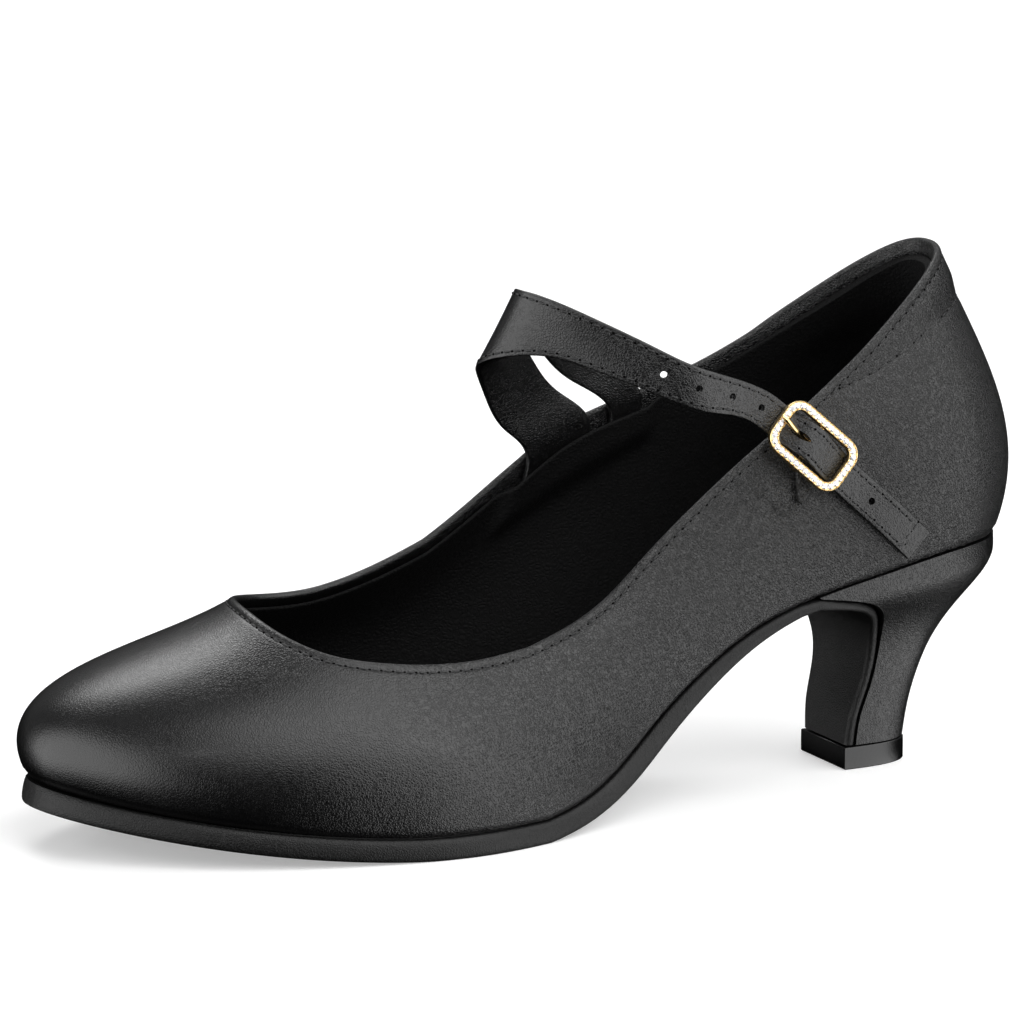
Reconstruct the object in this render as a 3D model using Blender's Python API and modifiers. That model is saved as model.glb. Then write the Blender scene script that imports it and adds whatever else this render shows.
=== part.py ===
"""Left dance shoe with an instep strap: pump upper, flared covered heel, buckle on the outer side.

The toe points to -X, the outer side of the foot is -Y, and Z is up. The origin is on the floor,
under the middle of the tread. Along is measured from the back of the heel towards the toe, and
across from the shoe's own centre line, with the outer side negative.
"""

import math

import bmesh
import bpy
import numpy as np
from mathutils import Matrix, Vector

# Driving sizes of the whole shoe, in metres
LENGTH = 0.235
BALL_WIDTH = 0.080
HEEL_WIDTH = 0.054
HEEL_HEIGHT = 0.0523
TOE_SPRING = 0.0115
TOPLINE_HEIGHT = 0.0672
TREAD_ALONG = 0.142

# Walls, boards and clearances
UPPER_WALL = 0.0018
COLLAR_PAD = 0.0009
FOREPART_SOLE = 0.0050
WAIST_SOLE = 0.0023
SOLE_REVEAL = 0.0004
SOLE_BEVEL = 0.0009
INSOLE_BOARD = 0.0016
GAP = 0.0003

# Tip of the heel
LIFT_HEIGHT = 0.0052
LIFT_LIP = 0.0004

# Strap and buckle
STRAP_LEATHER = 0.0016
STRAP_NARROW = 0.0080
PUNCH_RADIUS = 0.0008
BUCKLE_LENGTH = 0.0205
BUCKLE_WIDTH = 0.0134
BUCKLE_BAND = 0.0021
BUCKLE_THICKNESS = 0.0018
BUCKLE_CORNER = 0.0042
BUCKLE_LEVEL = 0.0034
BAR_RADIUS = 0.00055
BAR_LEVEL = 0.0022
PIN_RADIUS = 0.00050
TAB_LEATHER = 0.0009

# Where the strap lies: its fork inside the inner quarter in sections of the upper's table, the buckle
# on the outer quarter, and the strap's slopes in degrees on either side of the bar
FORK_FRONT = 19.35
FORK_REAR = 21.10
FORK_LEVELS = (0.88, 0.94, 1.0)
FORK_MIDDLE = 0.64
FORK_TIP = 0.055
FORK_MOUTH = 0.10
BUCKLE_ALONG = 0.0582
BUCKLE_RISE = 0.390
ENTRY_SLOPE = 41
TAIL_SLOPE = 42
BUCKLE_SLOPE = 44
TAIL_LENGTH = 0.0350
HOLE_DISTANCES = (-0.0405, -0.0320, -0.0235, -0.0155, 0.0196)
PIN_PLAY = 0.00025
PIN_ENTERS_STRAP = 0.0026
PIN_LEAVES_STRAP = 0.0068
TAB_SHOWS = 0.0040

# Where the sole thins from forepart to waist, as shares of LENGTH
WAIST_START = 0.45
WAIST_FADE = 0.25

# How finely the curved pieces are drawn
UPPER_ROUND = 84
UPPER_ROWS = 13
SOLE_STATIONS = 26

# The bed that the upper stands on: along as a share of LENGTH, and climb as a share of its whole rise
# to the heel seat. Columns: along, climb.
BED_ROWS = (
    (0.000, 1.000),
    (0.090, 0.982),
    (0.170, 0.912),
    (0.255, 0.806),
    (0.310, 0.694),
    (0.365, 0.522),
    (0.410, 0.347),
    (0.455, 0.163),
    (0.500, 0.050),
    (0.545, 0.000),
)
TOE_RISE_START = 0.655
TOE_RISE_POWER = 1.6

# The upper in sections round the foot, from the back of the heel by the outer side to the toe and home.
# Along is a share of LENGTH, across of BALL_WIDTH, rise of TOPLINE_HEIGHT above the bed. Flare and lean
# are degrees from upright at the foot and the rim of a section, belly and draw how far each one holds.
# Columns: along, across, rim along, rim across, rise, flare, belly, lean, draw.
SECTION_ROWS = (
    (0.0000, 0.000, 0.0620, 0.000, 0.980, 21, 0.40, 25, 0.42),
    (0.0170, -0.175, 0.0730, -0.110, 0.960, 21, 0.39, 23, 0.40),
    (0.0680, -0.293, 0.1180, -0.205, 0.870, 22, 0.40, 19, 0.38),
    (0.1530, -0.335, 0.1900, -0.258, 0.725, 16, 0.36, 14, 0.36),
    (0.2500, -0.330, 0.2620, -0.285, 0.620, 12, 0.34, 12, 0.34),
    (0.3500, -0.340, 0.3450, -0.292, 0.560, 12, 0.34, 14, 0.34),
    (0.4400, -0.385, 0.4300, -0.315, 0.560, 14, 0.34, 22, 0.34),
    (0.5250, -0.470, 0.5150, -0.355, 0.560, 18, 0.36, 32, 0.36),
    (0.6150, -0.530, 0.6000, -0.385, 0.530, 22, 0.38, 40, 0.36),
    (0.7100, -0.505, 0.6780, -0.375, 0.540, 23, 0.39, 45, 0.35),
    (0.8050, -0.430, 0.7350, -0.320, 0.560, 25, 0.41, 50, 0.34),
    (0.8950, -0.300, 0.7680, -0.205, 0.600, 27, 0.42, 55, 0.34),
    (0.9600, -0.125, 0.7780, -0.070, 0.635, 28, 0.42, 58, 0.34),
    (0.9800, 0.050, 0.7740, 0.060, 0.645, 28, 0.42, 58, 0.34),
    (0.9550, 0.225, 0.7560, 0.180, 0.635, 27, 0.42, 55, 0.34),
    (0.8900, 0.350, 0.7180, 0.265, 0.620, 25, 0.42, 50, 0.34),
    (0.8050, 0.425, 0.6600, 0.300, 0.625, 23, 0.41, 45, 0.35),
    (0.7150, 0.455, 0.5980, 0.310, 0.675, 22, 0.40, 40, 0.36),
    (0.6250, 0.435, 0.5350, 0.305, 0.765, 18, 0.38, 32, 0.36),
    (0.5350, 0.365, 0.4680, 0.300, 0.850, 14, 0.36, 22, 0.34),
    (0.4450, 0.300, 0.4000, 0.290, 0.820, 10, 0.34, 14, 0.34),
    (0.3500, 0.280, 0.3320, 0.280, 0.735, 10, 0.34, 12, 0.34),
    (0.2500, 0.305, 0.2620, 0.275, 0.705, 12, 0.34, 12, 0.34),
    (0.1530, 0.328, 0.1900, 0.245, 0.765, 16, 0.36, 14, 0.36),
    (0.0680, 0.290, 0.1180, 0.195, 0.870, 22, 0.40, 19, 0.38),
    (0.0170, 0.175, 0.0730, 0.105, 0.957, 21, 0.39, 23, 0.40),
)

# The heel from its tip up to the seat. Front and back are shares of LENGTH, their heights shares of
# the block between the top lift and the seat, width of HEEL_WIDTH, and seat is how far the ring has
# become the seat's own outline. Columns: front, front height, back, back height, width, seat.
HEEL_ROWS = (
    (0.1555, 0.000, 0.0890, 0.000, 0.370, 0.00),
    (0.1530, 0.140, 0.0850, 0.145, 0.400, 0.00),
    (0.1460, 0.274, 0.0785, 0.285, 0.435, 0.00),
    (0.1410, 0.419, 0.0665, 0.441, 0.480, 0.00),
    (0.1430, 0.559, 0.0490, 0.598, 0.565, 0.05),
    (0.1520, 0.681, 0.0280, 0.749, 0.700, 0.22),
    (0.1730, 0.765, 0.0090, 0.877, 0.850, 0.55),
    (0.2030, 0.806, 0.0000, 0.950, 0.950, 0.85),
    (0.2350, 0.828, 0.0000, 0.9955, 1.000, 1.00),
)
HEEL_SQUARENESS = 2.7
HEEL_ROUND = 25

# The strap's free run over the instep, from its fork to the buckle. Both edges are given: the front
# edge lies lower, over the toes' side. Along is a share of LENGTH, across of BALL_WIDTH, and rise of
# TOPLINE_HEIGHT above the heel seat. Columns: front along, across, rise, then rear along, across, rise.
STRAP_ROWS = (
    (0.4700, 0.250, 0.400, 0.3700, 0.255, 0.600),
    (0.4950, 0.215, 0.520, 0.4150, 0.215, 0.735),
    (0.5120, 0.165, 0.610, 0.4520, 0.160, 0.850),
    (0.5210, 0.100, 0.663, 0.4830, 0.085, 0.905),
    (0.5120, 0.005, 0.700, 0.4950, -0.010, 0.922),
    (0.4830, -0.090, 0.713, 0.4800, -0.105, 0.900),
    (0.4450, -0.185, 0.672, 0.4430, -0.185, 0.838),
    (0.4050, -0.265, 0.610, 0.4030, -0.255, 0.764),
    (0.3600, -0.318, 0.545, 0.3620, -0.305, 0.690),
)


def spline(knots, values, where):
    """Smooth open curve through a table's rows, straight at both ends."""
    knots = np.asarray(knots, float)
    values = np.asarray(values, float)
    steps = np.diff(knots)
    count = len(knots)
    system = np.eye(count)
    bends = np.zeros((count,) + values.shape[1:])
    for row in range(1, count - 1):
        system[row, row - 1] = steps[row - 1]
        system[row, row] = 2 * (steps[row - 1] + steps[row])
        system[row, row + 1] = steps[row]
        after = (values[row + 1] - values[row]) / steps[row]
        before = (values[row] - values[row - 1]) / steps[row - 1]
        bends[row] = 6 * (after - before)
    bends = np.linalg.solve(system, bends)
    where = np.clip(np.asarray(where, float), knots[0], knots[-1])
    low = np.clip(np.searchsorted(knots, where, side="right") - 1, 0, count - 2)
    width = steps[low]
    b = (where - knots[low]) / width
    a = 1 - b
    if values.ndim > 1:
        a, b, width = a[..., None], b[..., None], width[..., None]
    bend = ((a ** 3 - a) * bends[low] + (b ** 3 - b) * bends[low + 1]) * width ** 2 / 6
    return a * values[low] + b * values[low + 1] + bend


def closed_spline(values, where):
    """Smooth closed curve through evenly numbered rows. Where counts in rows and wraps round."""
    values = np.asarray(values, float)
    count = len(values)
    system = 4 * np.eye(count) + np.roll(np.eye(count), 1, 0) + np.roll(np.eye(count), -1, 0)
    bends = np.linalg.solve(system, 6 * (np.roll(values, 1, 0) - 2 * values + np.roll(values, -1, 0)))
    where = np.mod(np.asarray(where, float), count)
    low = np.floor(where).astype(int) % count
    high = (low + 1) % count
    b = (where - np.floor(where))[..., None]
    a = 1 - b
    bend = ((a ** 3 - a) * bends[low] + (b ** 3 - b) * bends[high]) / 6
    return a * values[low] + b * values[high] + bend


def smooth_step(value):
    """0 below 0, 1 above 1, and soft at both ends."""
    value = np.clip(value, 0, 1)
    return value * value * (3 - 2 * value)


def place(along, across, height):
    """Shoe measures to world coordinates."""
    return np.stack(np.broadcast_arrays(TREAD_ALONG - np.asarray(along), across, height), -1)


def bed_height(along):
    """Height of the surface that upper, insole and heel meet on."""
    along = np.asarray(along, float)
    table = np.array(BED_ROWS)
    climb = spline(table[:, 0] * LENGTH, table[:, 1], along)
    toe_start = TOE_RISE_START * LENGTH
    toe = np.clip((along - toe_start) / (LENGTH - toe_start), 0, None) ** TOE_RISE_POWER
    return FOREPART_SOLE + climb * (HEEL_HEIGHT - FOREPART_SOLE) + toe * TOE_SPRING


def unit(vectors):
    """Vectors cut or drawn out to length one."""
    return vectors / np.linalg.norm(vectors, axis=-1, keepdims=True)


def plan_outward(points, ahead, behind):
    """Level direction that points out of a closed outline, from two neighbours on it."""
    run = ahead - behind
    return unit(np.stack([-run[..., 1], run[..., 0], np.zeros_like(run[..., 0])], -1))


def feather_point(section):
    """Where the upper's outer face ends, a clearance above the bed."""
    table = np.array(SECTION_ROWS)
    row = closed_spline(table, section)
    along = row[..., 0] * LENGTH
    near = LENGTH / 200
    slope = (bed_height(along + near) - bed_height(along - near)) / (2 * near)
    return place(along, row[..., 1] * BALL_WIDTH, bed_height(along) + GAP * np.hypot(1, slope))


def rim_point(section):
    """The topline, on the upper's outer face."""
    table = np.array(SECTION_ROWS)
    row = closed_spline(table, section)
    along = row[..., 2] * LENGTH
    return place(along, row[..., 3] * BALL_WIDTH, bed_height(along) + row[..., 4] * TOPLINE_HEIGHT)


def upper_point(section, level):
    """A point of the upper's outer face. Section counts in table rows, level goes from bed 0 to rim 1."""
    section, level = np.broadcast_arrays(np.asarray(section, float), np.asarray(level, float))
    row = closed_spline(np.array(SECTION_ROWS), section)
    step = 0.05
    foot, rim = feather_point(section), rim_point(section)
    foot_out = plan_outward(foot, feather_point(section + step), feather_point(section - step))
    rim_out = plan_outward(rim, rim_point(section + step), rim_point(section - step))
    reach = np.linalg.norm(rim - foot, axis=-1, keepdims=True)
    flare = np.radians(row[..., 5:6])
    lean = np.radians(row[..., 7:8])
    upright = np.array([0.0, 0.0, 1.0])
    leaving = foot_out * np.sin(flare) + upright * np.cos(flare)
    arriving = -rim_out * np.sin(lean) + upright * np.cos(lean)
    first = foot + leaving * reach * row[..., 6:7]
    second = rim - arriving * reach * row[..., 8:9]
    t = level[..., None]
    s = 1 - t
    return s ** 3 * foot + 3 * s * s * t * first + 3 * s * t * t * second + t ** 3 * rim


def upper_frame(section, level):
    """A point of the upper's outer face with the direction that points out of it."""
    step = 0.02
    point = upper_point(section, level)
    round_way = upper_point(section + step, level) - upper_point(section - step, level)
    up_way = upper_point(section, level + step) - upper_point(section, level - step)
    return point, unit(np.cross(up_way, round_way))


def collar_pad(section, level):
    """Thickness that the padded collar adds round the back, behind a seam that drops towards it."""
    count = len(SECTION_ROWS)
    from_back = np.abs((np.asarray(section) + count / 2) % count - count / 2)
    seam = 0.76 + 0.05 * from_back
    return COLLAR_PAD * smooth_step((level - seam) / 0.08) * smooth_step((3.4 - from_back) / 0.8)


def quarter_spot(along, rise):
    """Section and level of the outer quarter's point at a place along the shoe and a height."""
    spot = np.array([4.0, 0.6])
    aim = np.array([TREAD_ALONG - along, rise])
    step = 1e-3
    for _ in range(12):
        here = upper_point(*spot)[[0, 2]]
        over = (upper_point(spot[0] + step, spot[1])[[0, 2]] - here) / step
        up = (upper_point(spot[0], spot[1] + step)[[0, 2]] - here) / step
        spot = spot + np.linalg.solve(np.stack([over, up], 1), aim - here)
    return spot


def shell(name, points, faces, material):
    """A mesh object in the shoe's collection from points and faces, shaded smooth."""
    mesh = bpy.data.meshes.new(name)
    mesh.from_pydata([tuple(point) for point in points], [], faces)
    mesh.validate()
    piece = bpy.data.objects.new(name, mesh)
    shoe.objects.link(piece)
    mesh.materials.append(material)
    mesh.shade_smooth()
    mesh.set_sharp_from_angle(angle=math.radians(40))
    return piece


def face_outwards(piece):
    """Turns the faces of a closed mesh to point out."""
    edit = bmesh.new()
    edit.from_mesh(piece.data)
    bmesh.ops.recalc_face_normals(edit, faces=edit.faces)
    edit.to_mesh(piece.data)
    edit.free()


def ring_loft(rings, close_ends=True):
    """Points and faces of a closed skin over rings with equal counts, each end closed by strips."""
    rings = np.asarray(rings)
    count, size = rings.shape[:2]
    faces = []
    for ring in range(count - 1):
        for corner in range(size):
            after = (corner + 1) % size
            faces.append((ring * size + corner, ring * size + after,
                          (ring + 1) * size + after, (ring + 1) * size + corner))
    if close_ends:
        for start, backwards in ((0, True), ((count - 1) * size, False)):
            for corner in range((size - 1) // 2):
                strip = [start + corner, start + corner + 1,
                         start + size - 2 - corner, start + size - 1 - corner]
                strip = list(dict.fromkeys(strip))
                if len(strip) > 2:
                    faces.append(tuple(reversed(strip)) if backwards else tuple(strip))
    return rings.reshape(-1, 3), faces


def finish(name, colour, roughness, metallic=0.0):
    """A plain material for one piece."""
    material = bpy.data.materials.new(name)
    material.use_nodes = True
    surface = material.node_tree.nodes["Principled BSDF"]
    surface.inputs["Base Color"].default_value = (*colour, 1.0)
    surface.inputs["Roughness"].default_value = roughness
    surface.inputs["Metallic"].default_value = metallic
    return material


def make_upper():
    """The hollow upper: its outer face as a net of sections and levels, walled inwards."""
    sections = np.arange(UPPER_ROUND) * len(SECTION_ROWS) / UPPER_ROUND
    levels = np.linspace(0, 1, UPPER_ROWS)
    section_net, level_net = np.meshgrid(sections, levels)
    point, out = upper_frame(section_net, level_net)
    point = point + out * collar_pad(section_net, level_net)[..., None]
    faces = []
    for row in range(UPPER_ROWS - 1):
        for column in range(UPPER_ROUND):
            after = (column + 1) % UPPER_ROUND
            low, high = row * UPPER_ROUND, (row + 1) * UPPER_ROUND
            faces.append((low + column, high + column, high + after, low + after))
    upper = shell("upper", point.reshape(-1, 3), faces, finish("upper leather", (0.012, 0.012, 0.013), 0.35))
    wall = upper.modifiers.new("wall", "SOLIDIFY")
    wall.thickness = UPPER_WALL
    wall.offset = -1
    wall.use_even_offset = True
    return upper


def outline_across(side, along, inset=0.0):
    """How far across the feather line lies at a place along, on side -1 or 1, moved in by inset."""
    half = len(SECTION_ROWS) / 2
    sections = np.linspace(0, half, 400) if side < 0 else np.linspace(2 * half, half, 400)
    step = 0.05
    point = feather_point(sections)
    out = plan_outward(point, feather_point(sections + step), feather_point(sections - step))
    line = point - out * inset
    line_along = TREAD_ALONG - line[:, 0]
    first, last = np.argmin(line_along), np.argmax(line_along)
    return np.interp(along, line_along[first:last + 1], line[first:last + 1, 1])


def outline_ends(inset=0.0):
    """The least and greatest place along the feather line, moved in by inset."""
    sections = np.linspace(0, len(SECTION_ROWS), 801)
    step = 0.05
    point = feather_point(sections)
    out = plan_outward(point, feather_point(sections + step), feather_point(sections - step))
    along = TREAD_ALONG - (point - out * inset)[:, 0]
    return along.min(), along.max()


def heel_row(step):
    """Heights, front, back and width of the heel at a step that counts in table rows."""
    table = np.array(HEEL_ROWS)
    tip = LIFT_HEIGHT + GAP
    block = HEEL_HEIGHT - tip
    sizes = np.array([LENGTH, block, LENGTH, block, HEEL_WIDTH / 2, 1.0])
    start = np.array([0, tip, 0, tip, 0, 0])
    return start + spline(np.arange(len(table)), table * sizes, step)


def crosswise_loft(path, down, thick, outer, inner, bevel):
    """Rings across the shoe along a path of its upper side: flat above, bevelled along both lower edges."""
    rings = []
    for (along, height), (d_along, d_height), t, low, high in zip(path, down, thick, outer, inner):
        def corner(across, depth):
            return place(along + d_along * depth, across, height + d_height * depth)
        edge = min(bevel, t * 0.4)
        ring = [corner(low + (high - low) * share, 0) for share in np.linspace(0, 1, 5)]
        ring.append(corner(high, t - edge))
        ring += [corner(high - edge + (low - high + 2 * edge) * share, t) for share in np.linspace(0, 1, 5)]
        ring.append(corner(low, t - edge))
        rings.append(ring)
    return ring_loft(rings)


def below(path):
    """Direction square to a path from toe to heel, towards the ground."""
    run = np.gradient(path, axis=0)
    return unit(np.stack([-run[:, 1], run[:, 0]], -1))


def make_outsole():
    """Forepart, arch and the flap down the heel's breast, as one skin."""
    breast = heel_row(np.linspace(len(HEEL_ROWS) - 1, 0, 20))
    toe_end = outline_ends(-SOLE_REVEAL)[1]
    flap_start = breast[0, 0] + 2 * WAIST_SOLE
    share = np.linspace(0.015, 1, SOLE_STATIONS) ** 1.6
    along = toe_end - (toe_end - flap_start) * share
    path = np.concatenate([np.stack([along, bed_height(along)], -1), breast[:, :2]])
    down = below(path)
    path[SOLE_STATIONS:] += down[SOLE_STATIONS:] * GAP
    waist = smooth_step((WAIST_START - path[:, 0] / LENGTH) / WAIST_FADE)
    thick = FOREPART_SOLE + (WAIST_SOLE - FOREPART_SOLE) * waist
    flap_width = np.concatenate([np.full(SOLE_STATIONS, BALL_WIDTH), breast[:, 4]])
    outer = np.maximum(outline_across(-1, path[:, 0], -SOLE_REVEAL), -flap_width)
    inner = np.minimum(outline_across(1, path[:, 0], -SOLE_REVEAL), flap_width)
    points, faces = crosswise_loft(path, down, thick, outer, inner, SOLE_BEVEL)
    sole = shell("outsole", points, faces, finish("sole edge", (0.010, 0.010, 0.010), 0.6))
    face_outwards(sole)
    return sole


def make_insole():
    """The sock board, a wall and a clearance inside the feather line."""
    inset = UPPER_WALL * 1.3 + 2 * GAP
    first, last = outline_ends(inset)
    turn = np.linspace(math.radians(7), math.radians(173), 32)
    along = (first + last) / 2 + (last - first) / 2 * np.cos(turn)
    path = np.stack([along, bed_height(along)], -1)
    path -= below(path) * (GAP + INSOLE_BOARD)
    outer, inner = outline_across(-1, path[:, 0], inset), outline_across(1, path[:, 0], inset)
    thick = np.full(len(along), INSOLE_BOARD)
    points, faces = crosswise_loft(path, below(path), thick, outer, inner, INSOLE_BOARD / 4)
    insole = shell("insole", points, faces, finish("sock lining", (0.010, 0.010, 0.010), 0.8))
    face_outwards(insole)
    return insole


def heel_ring(front, back, width):
    """A D: straight across the front, squared round the back. Gives places along and across."""
    turn = np.linspace(0, math.pi, HEEL_ROUND)
    power = 2 / HEEL_SQUARENESS
    along = front - (front - back) * np.abs(np.sin(turn)) ** power
    return along, -width * np.sign(np.cos(turn)) * np.abs(np.cos(turn)) ** power


def make_heel():
    """The covered heel block, from a small D at its tip to the outline of the heel seat."""
    top = len(HEEL_ROWS) - 1
    rings = []
    for step in np.linspace(0, top, 19):
        front, front_height, back, back_height, width, seat = heel_row(step)
        along, across = heel_ring(front, back, width)
        seat_across = np.where(across < 0, outline_across(-1, along), outline_across(1, along))
        across = across + (seat_across - across) * np.clip(seat, 0, 1)
        share = (front - along) / (front - back)
        height = front_height + (back_height - front_height) * share
        if step == top:
            height = bed_height(along)
        rings.append(place(along, across, height))
    points, faces = ring_loft(rings)
    heel = shell("heel", points, faces, finish("heel cover leather", (0.011, 0.011, 0.012), 0.38))
    face_outwards(heel)
    return heel


def make_top_lift():
    """The hard tip under the heel, a lip wider than the block and the flap in front of it."""
    front, _, back, _, width, _ = heel_row(0)
    front += GAP + WAIST_SOLE
    rings = []
    for height, lip in ((0, 0), (LIFT_LIP, LIFT_LIP), (LIFT_HEIGHT - LIFT_LIP, LIFT_LIP), (LIFT_HEIGHT, 0)):
        along, across = heel_ring(front + lip, back - lip, width + lip)
        rings.append(place(along, across, height))
    points, faces = ring_loft(rings)
    lift = shell("top_lift", points, faces, finish("hard tip", (0.010, 0.010, 0.010), 0.3))
    face_outwards(lift)
    return lift


def buckle_place():
    """The buckle's own axes: along the strap towards its tail, across it, and out of the quarter."""
    spot = quarter_spot(BUCKLE_ALONG, HEEL_HEIGHT + BUCKLE_RISE * TOPLINE_HEIGHT)
    point, out = upper_frame(*spot)
    slope = math.radians(BUCKLE_SLOPE)
    tail = np.array([math.cos(slope), 0, -math.sin(slope)])
    tail = unit(tail - out * (tail @ out))
    side = np.cross(out, tail)
    return point, tail, side, out


def tail_row(distance, lift):
    """Front and rear edge of the strap's upper face where it lies on the quarter."""
    slope = math.radians(TAIL_SLOPE if distance > 0 else ENTRY_SLOPE)
    run = np.array([math.cos(slope), 0, -math.sin(slope)])
    along = BUCKLE_ALONG - run[0] * distance
    rise = HEEL_HEIGHT + BUCKLE_RISE * TOPLINE_HEIGHT + run[2] * distance
    point, out = upper_frame(*quarter_spot(along, rise))
    centre = point + out * (lift + STRAP_LEATHER)
    side = unit(np.cross(out, run)) * STRAP_NARROW / 2
    return np.concatenate([centre - side, centre + side])


def fork_row(level):
    """Front and rear edge of the forked end, flat inside the inner quarter."""
    edges = []
    for section in (FORK_FRONT, FORK_REAR):
        point, out = upper_frame(section, level)
        edges.append(point - out * (UPPER_WALL + GAP))
    return np.concatenate(edges)


def strap_course():
    """Rows of front and rear edge points with their distance along the strap; the bar is at distance 0."""
    rows = [fork_row(level) for level in FORK_LEVELS]
    for front_along, front_across, front_rise, rear_along, rear_across, rear_rise in STRAP_ROWS:
        front_height = HEEL_HEIGHT + front_rise * TOPLINE_HEIGHT
        rear_height = HEEL_HEIGHT + rear_rise * TOPLINE_HEIGHT
        front = place(front_along * LENGTH, front_across * BALL_WIDTH, front_height)
        rear = place(rear_along * LENGTH, rear_across * BALL_WIDTH, rear_height)
        rows.append(np.concatenate([front, rear]))
    over_bar = BAR_LEVEL + BAR_RADIUS + PIN_PLAY + 2 * PIN_RADIUS + GAP
    under_band = BUCKLE_LEVEL - 1.5 * GAP - STRAP_LEATHER
    lifts = (
        (-0.62, under_band),
        (-0.42, under_band),
        (-0.24, (under_band + over_bar) / 2),
        (-0.11, over_bar),
        (0.02, over_bar),
        (0.20, (under_band + over_bar) / 2),
        (0.42, under_band),
        (0.80, GAP),
        (1.20, GAP),
    )
    bar_row = len(rows) + 4
    for share, lift in lifts:
        rows.append(tail_row(share * BUCKLE_LENGTH, lift))
    rows.append(tail_row(TAIL_LENGTH, GAP))
    rows = np.array(rows)
    middle = (rows[:, :3] + rows[:, 3:]) / 2
    distance = np.concatenate([[0], np.cumsum(np.linalg.norm(np.diff(middle, axis=0), axis=1))])
    return distance - distance[bar_row], rows


def strap_station(distance):
    """Edges of the strap's upper face at a distance along it."""
    knots, rows = strap_course()
    return spline(knots, rows, distance)


def make_strap():
    """The instep strap: one leather strip, forked at its inner end, with punched holes."""
    knots, rows = strap_course()
    fork_end = knots[len(FORK_LEVELS) + 1] + 0.2 * (knots[len(FORK_LEVELS) + 2] - knots[len(FORK_LEVELS) + 1])
    open_part = np.linspace(knots[0], fork_end, 10)
    free_part = np.linspace(fork_end, -BUCKLE_LENGTH * 0.6, 28)[1:]
    buckled = np.linspace(-BUCKLE_LENGTH * 0.6, BUCKLE_LENGTH * 0.6, 17)[1:]
    tail_part = np.linspace(BUCKLE_LENGTH * 0.6, knots[-1], 6)[1:]
    stations = np.concatenate([open_part, free_part, buckled, tail_part])
    edges = spline(knots, rows, stations)
    front, rear = edges[:, :3], edges[:, 3:]
    fork_share = np.clip((fork_end - stations) / (fork_end - knots[0]), 0, 1)
    half_slot = FORK_TIP + (FORK_MOUTH - FORK_TIP) * fork_share
    shares = np.stack([0 * half_slot, FORK_MIDDLE / 3 + 0 * half_slot, FORK_MIDDLE * 2 / 3 + 0 * half_slot,
                       FORK_MIDDLE - half_slot, FORK_MIDDLE + half_slot, 1 + 0 * half_slot], -1)
    points = front[:, None] + (rear - front)[:, None] * shares[..., None]
    columns = points.shape[1]
    faces = []
    for station in range(len(stations) - 1):
        for column in range(columns - 1):
            if column == 3 and station < len(open_part) - 1:
                continue
            low, high = station * columns + column, (station + 1) * columns + column
            faces.append((low, high, high + 1, low + 1))
    strap = shell("strap", points.reshape(-1, 3), faces, finish("strap leather", (0.012, 0.012, 0.013), 0.33))
    wall = strap.modifiers.new("leather", "SOLIDIFY")
    wall.thickness = STRAP_LEATHER
    wall.offset = -1
    wall.use_even_offset = True
    for index, distance in enumerate(HOLE_DISTANCES):
        punch(strap, "punch_%d" % index, distance, PUNCH_RADIUS, 1.0)
    pin_slot = (PIN_LEAVES_STRAP - PIN_ENTERS_STRAP) / 2
    middle = -(PIN_LEAVES_STRAP + PIN_ENTERS_STRAP) / 2
    punch(strap, "pin_slot", middle, PIN_RADIUS + GAP, (pin_slot + PIN_RADIUS) / (PIN_RADIUS + GAP))
    return strap


def punch(strap, name, distance, radius, stretch):
    """Cuts a round hole, or one stretched along the strap, square through it."""
    here, ahead = strap_station(distance), strap_station(distance + 0.0005)
    middle = (here[:3] + here[3:]) / 2
    run = unit((ahead[:3] + ahead[3:]) / 2 - middle)
    side = unit(here[3:] - here[:3])
    out = unit(np.cross(run, side))
    bpy.ops.mesh.primitive_cylinder_add(vertices=12, radius=radius, depth=STRAP_LEATHER * 4)
    cutter = bpy.context.object
    cutter.name = name
    turn = Matrix((run * stretch, np.cross(out, run), out)).transposed().to_4x4()
    cutter.data.transform(Matrix.Translation(Vector(middle - out * STRAP_LEATHER / 2)) @ turn)
    keep_as_cutter(cutter)
    cut = strap.modifiers.new(name, "BOOLEAN")
    cut.operation = "DIFFERENCE"
    cut.solver = "EXACT"
    cut.object = cutter


def keep_as_cutter(piece):
    """Moves a piece out of the shoe into the cutters' collection."""
    for owner in list(piece.users_collection):
        owner.objects.unlink(piece)
    cutters.objects.link(piece)
    piece.hide_render = True
    piece.display_type = "WIRE"


def rounded_loop(curve, half_long, half_wide, corner):
    """Adds a rounded rectangle to a flat curve, with three points to each corner's arc."""
    points = []
    for quarter in range(4):
        turn = math.pi / 2 * quarter
        x = (half_long - corner) * (1 if quarter in (0, 3) else -1)
        y = (half_wide - corner) * (1 if quarter in (0, 1) else -1)
        for step in range(6):
            angle = turn + math.pi / 2 * step / 5
            points.append((x + corner * math.cos(angle), y + corner * math.sin(angle)))
    loop = curve.splines.new("POLY")
    loop.points.add(len(points) - 1)
    for spot, (x, y) in zip(loop.points, points):
        spot.co = (x, y, 0, 1)
    loop.use_cyclic_u = True


def curve_to_mesh(name, curve, material):
    """Turns a curve into a welded mesh object in the shoe's collection."""
    holder = bpy.data.objects.new(name + "_line", curve)
    shoe.objects.link(holder)
    bpy.context.view_layer.update()
    graph = bpy.context.evaluated_depsgraph_get()
    mesh = bpy.data.meshes.new_from_object(holder.evaluated_get(graph))
    bpy.data.objects.remove(holder)
    edit = bmesh.new()
    edit.from_mesh(mesh)
    bmesh.ops.remove_doubles(edit, verts=edit.verts, dist=1e-6)
    edit.to_mesh(mesh)
    edit.free()
    mesh.name = name
    mesh.materials.clear()
    mesh.materials.append(material)
    piece = bpy.data.objects.new(name, mesh)
    shoe.objects.link(piece)
    return piece


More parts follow.
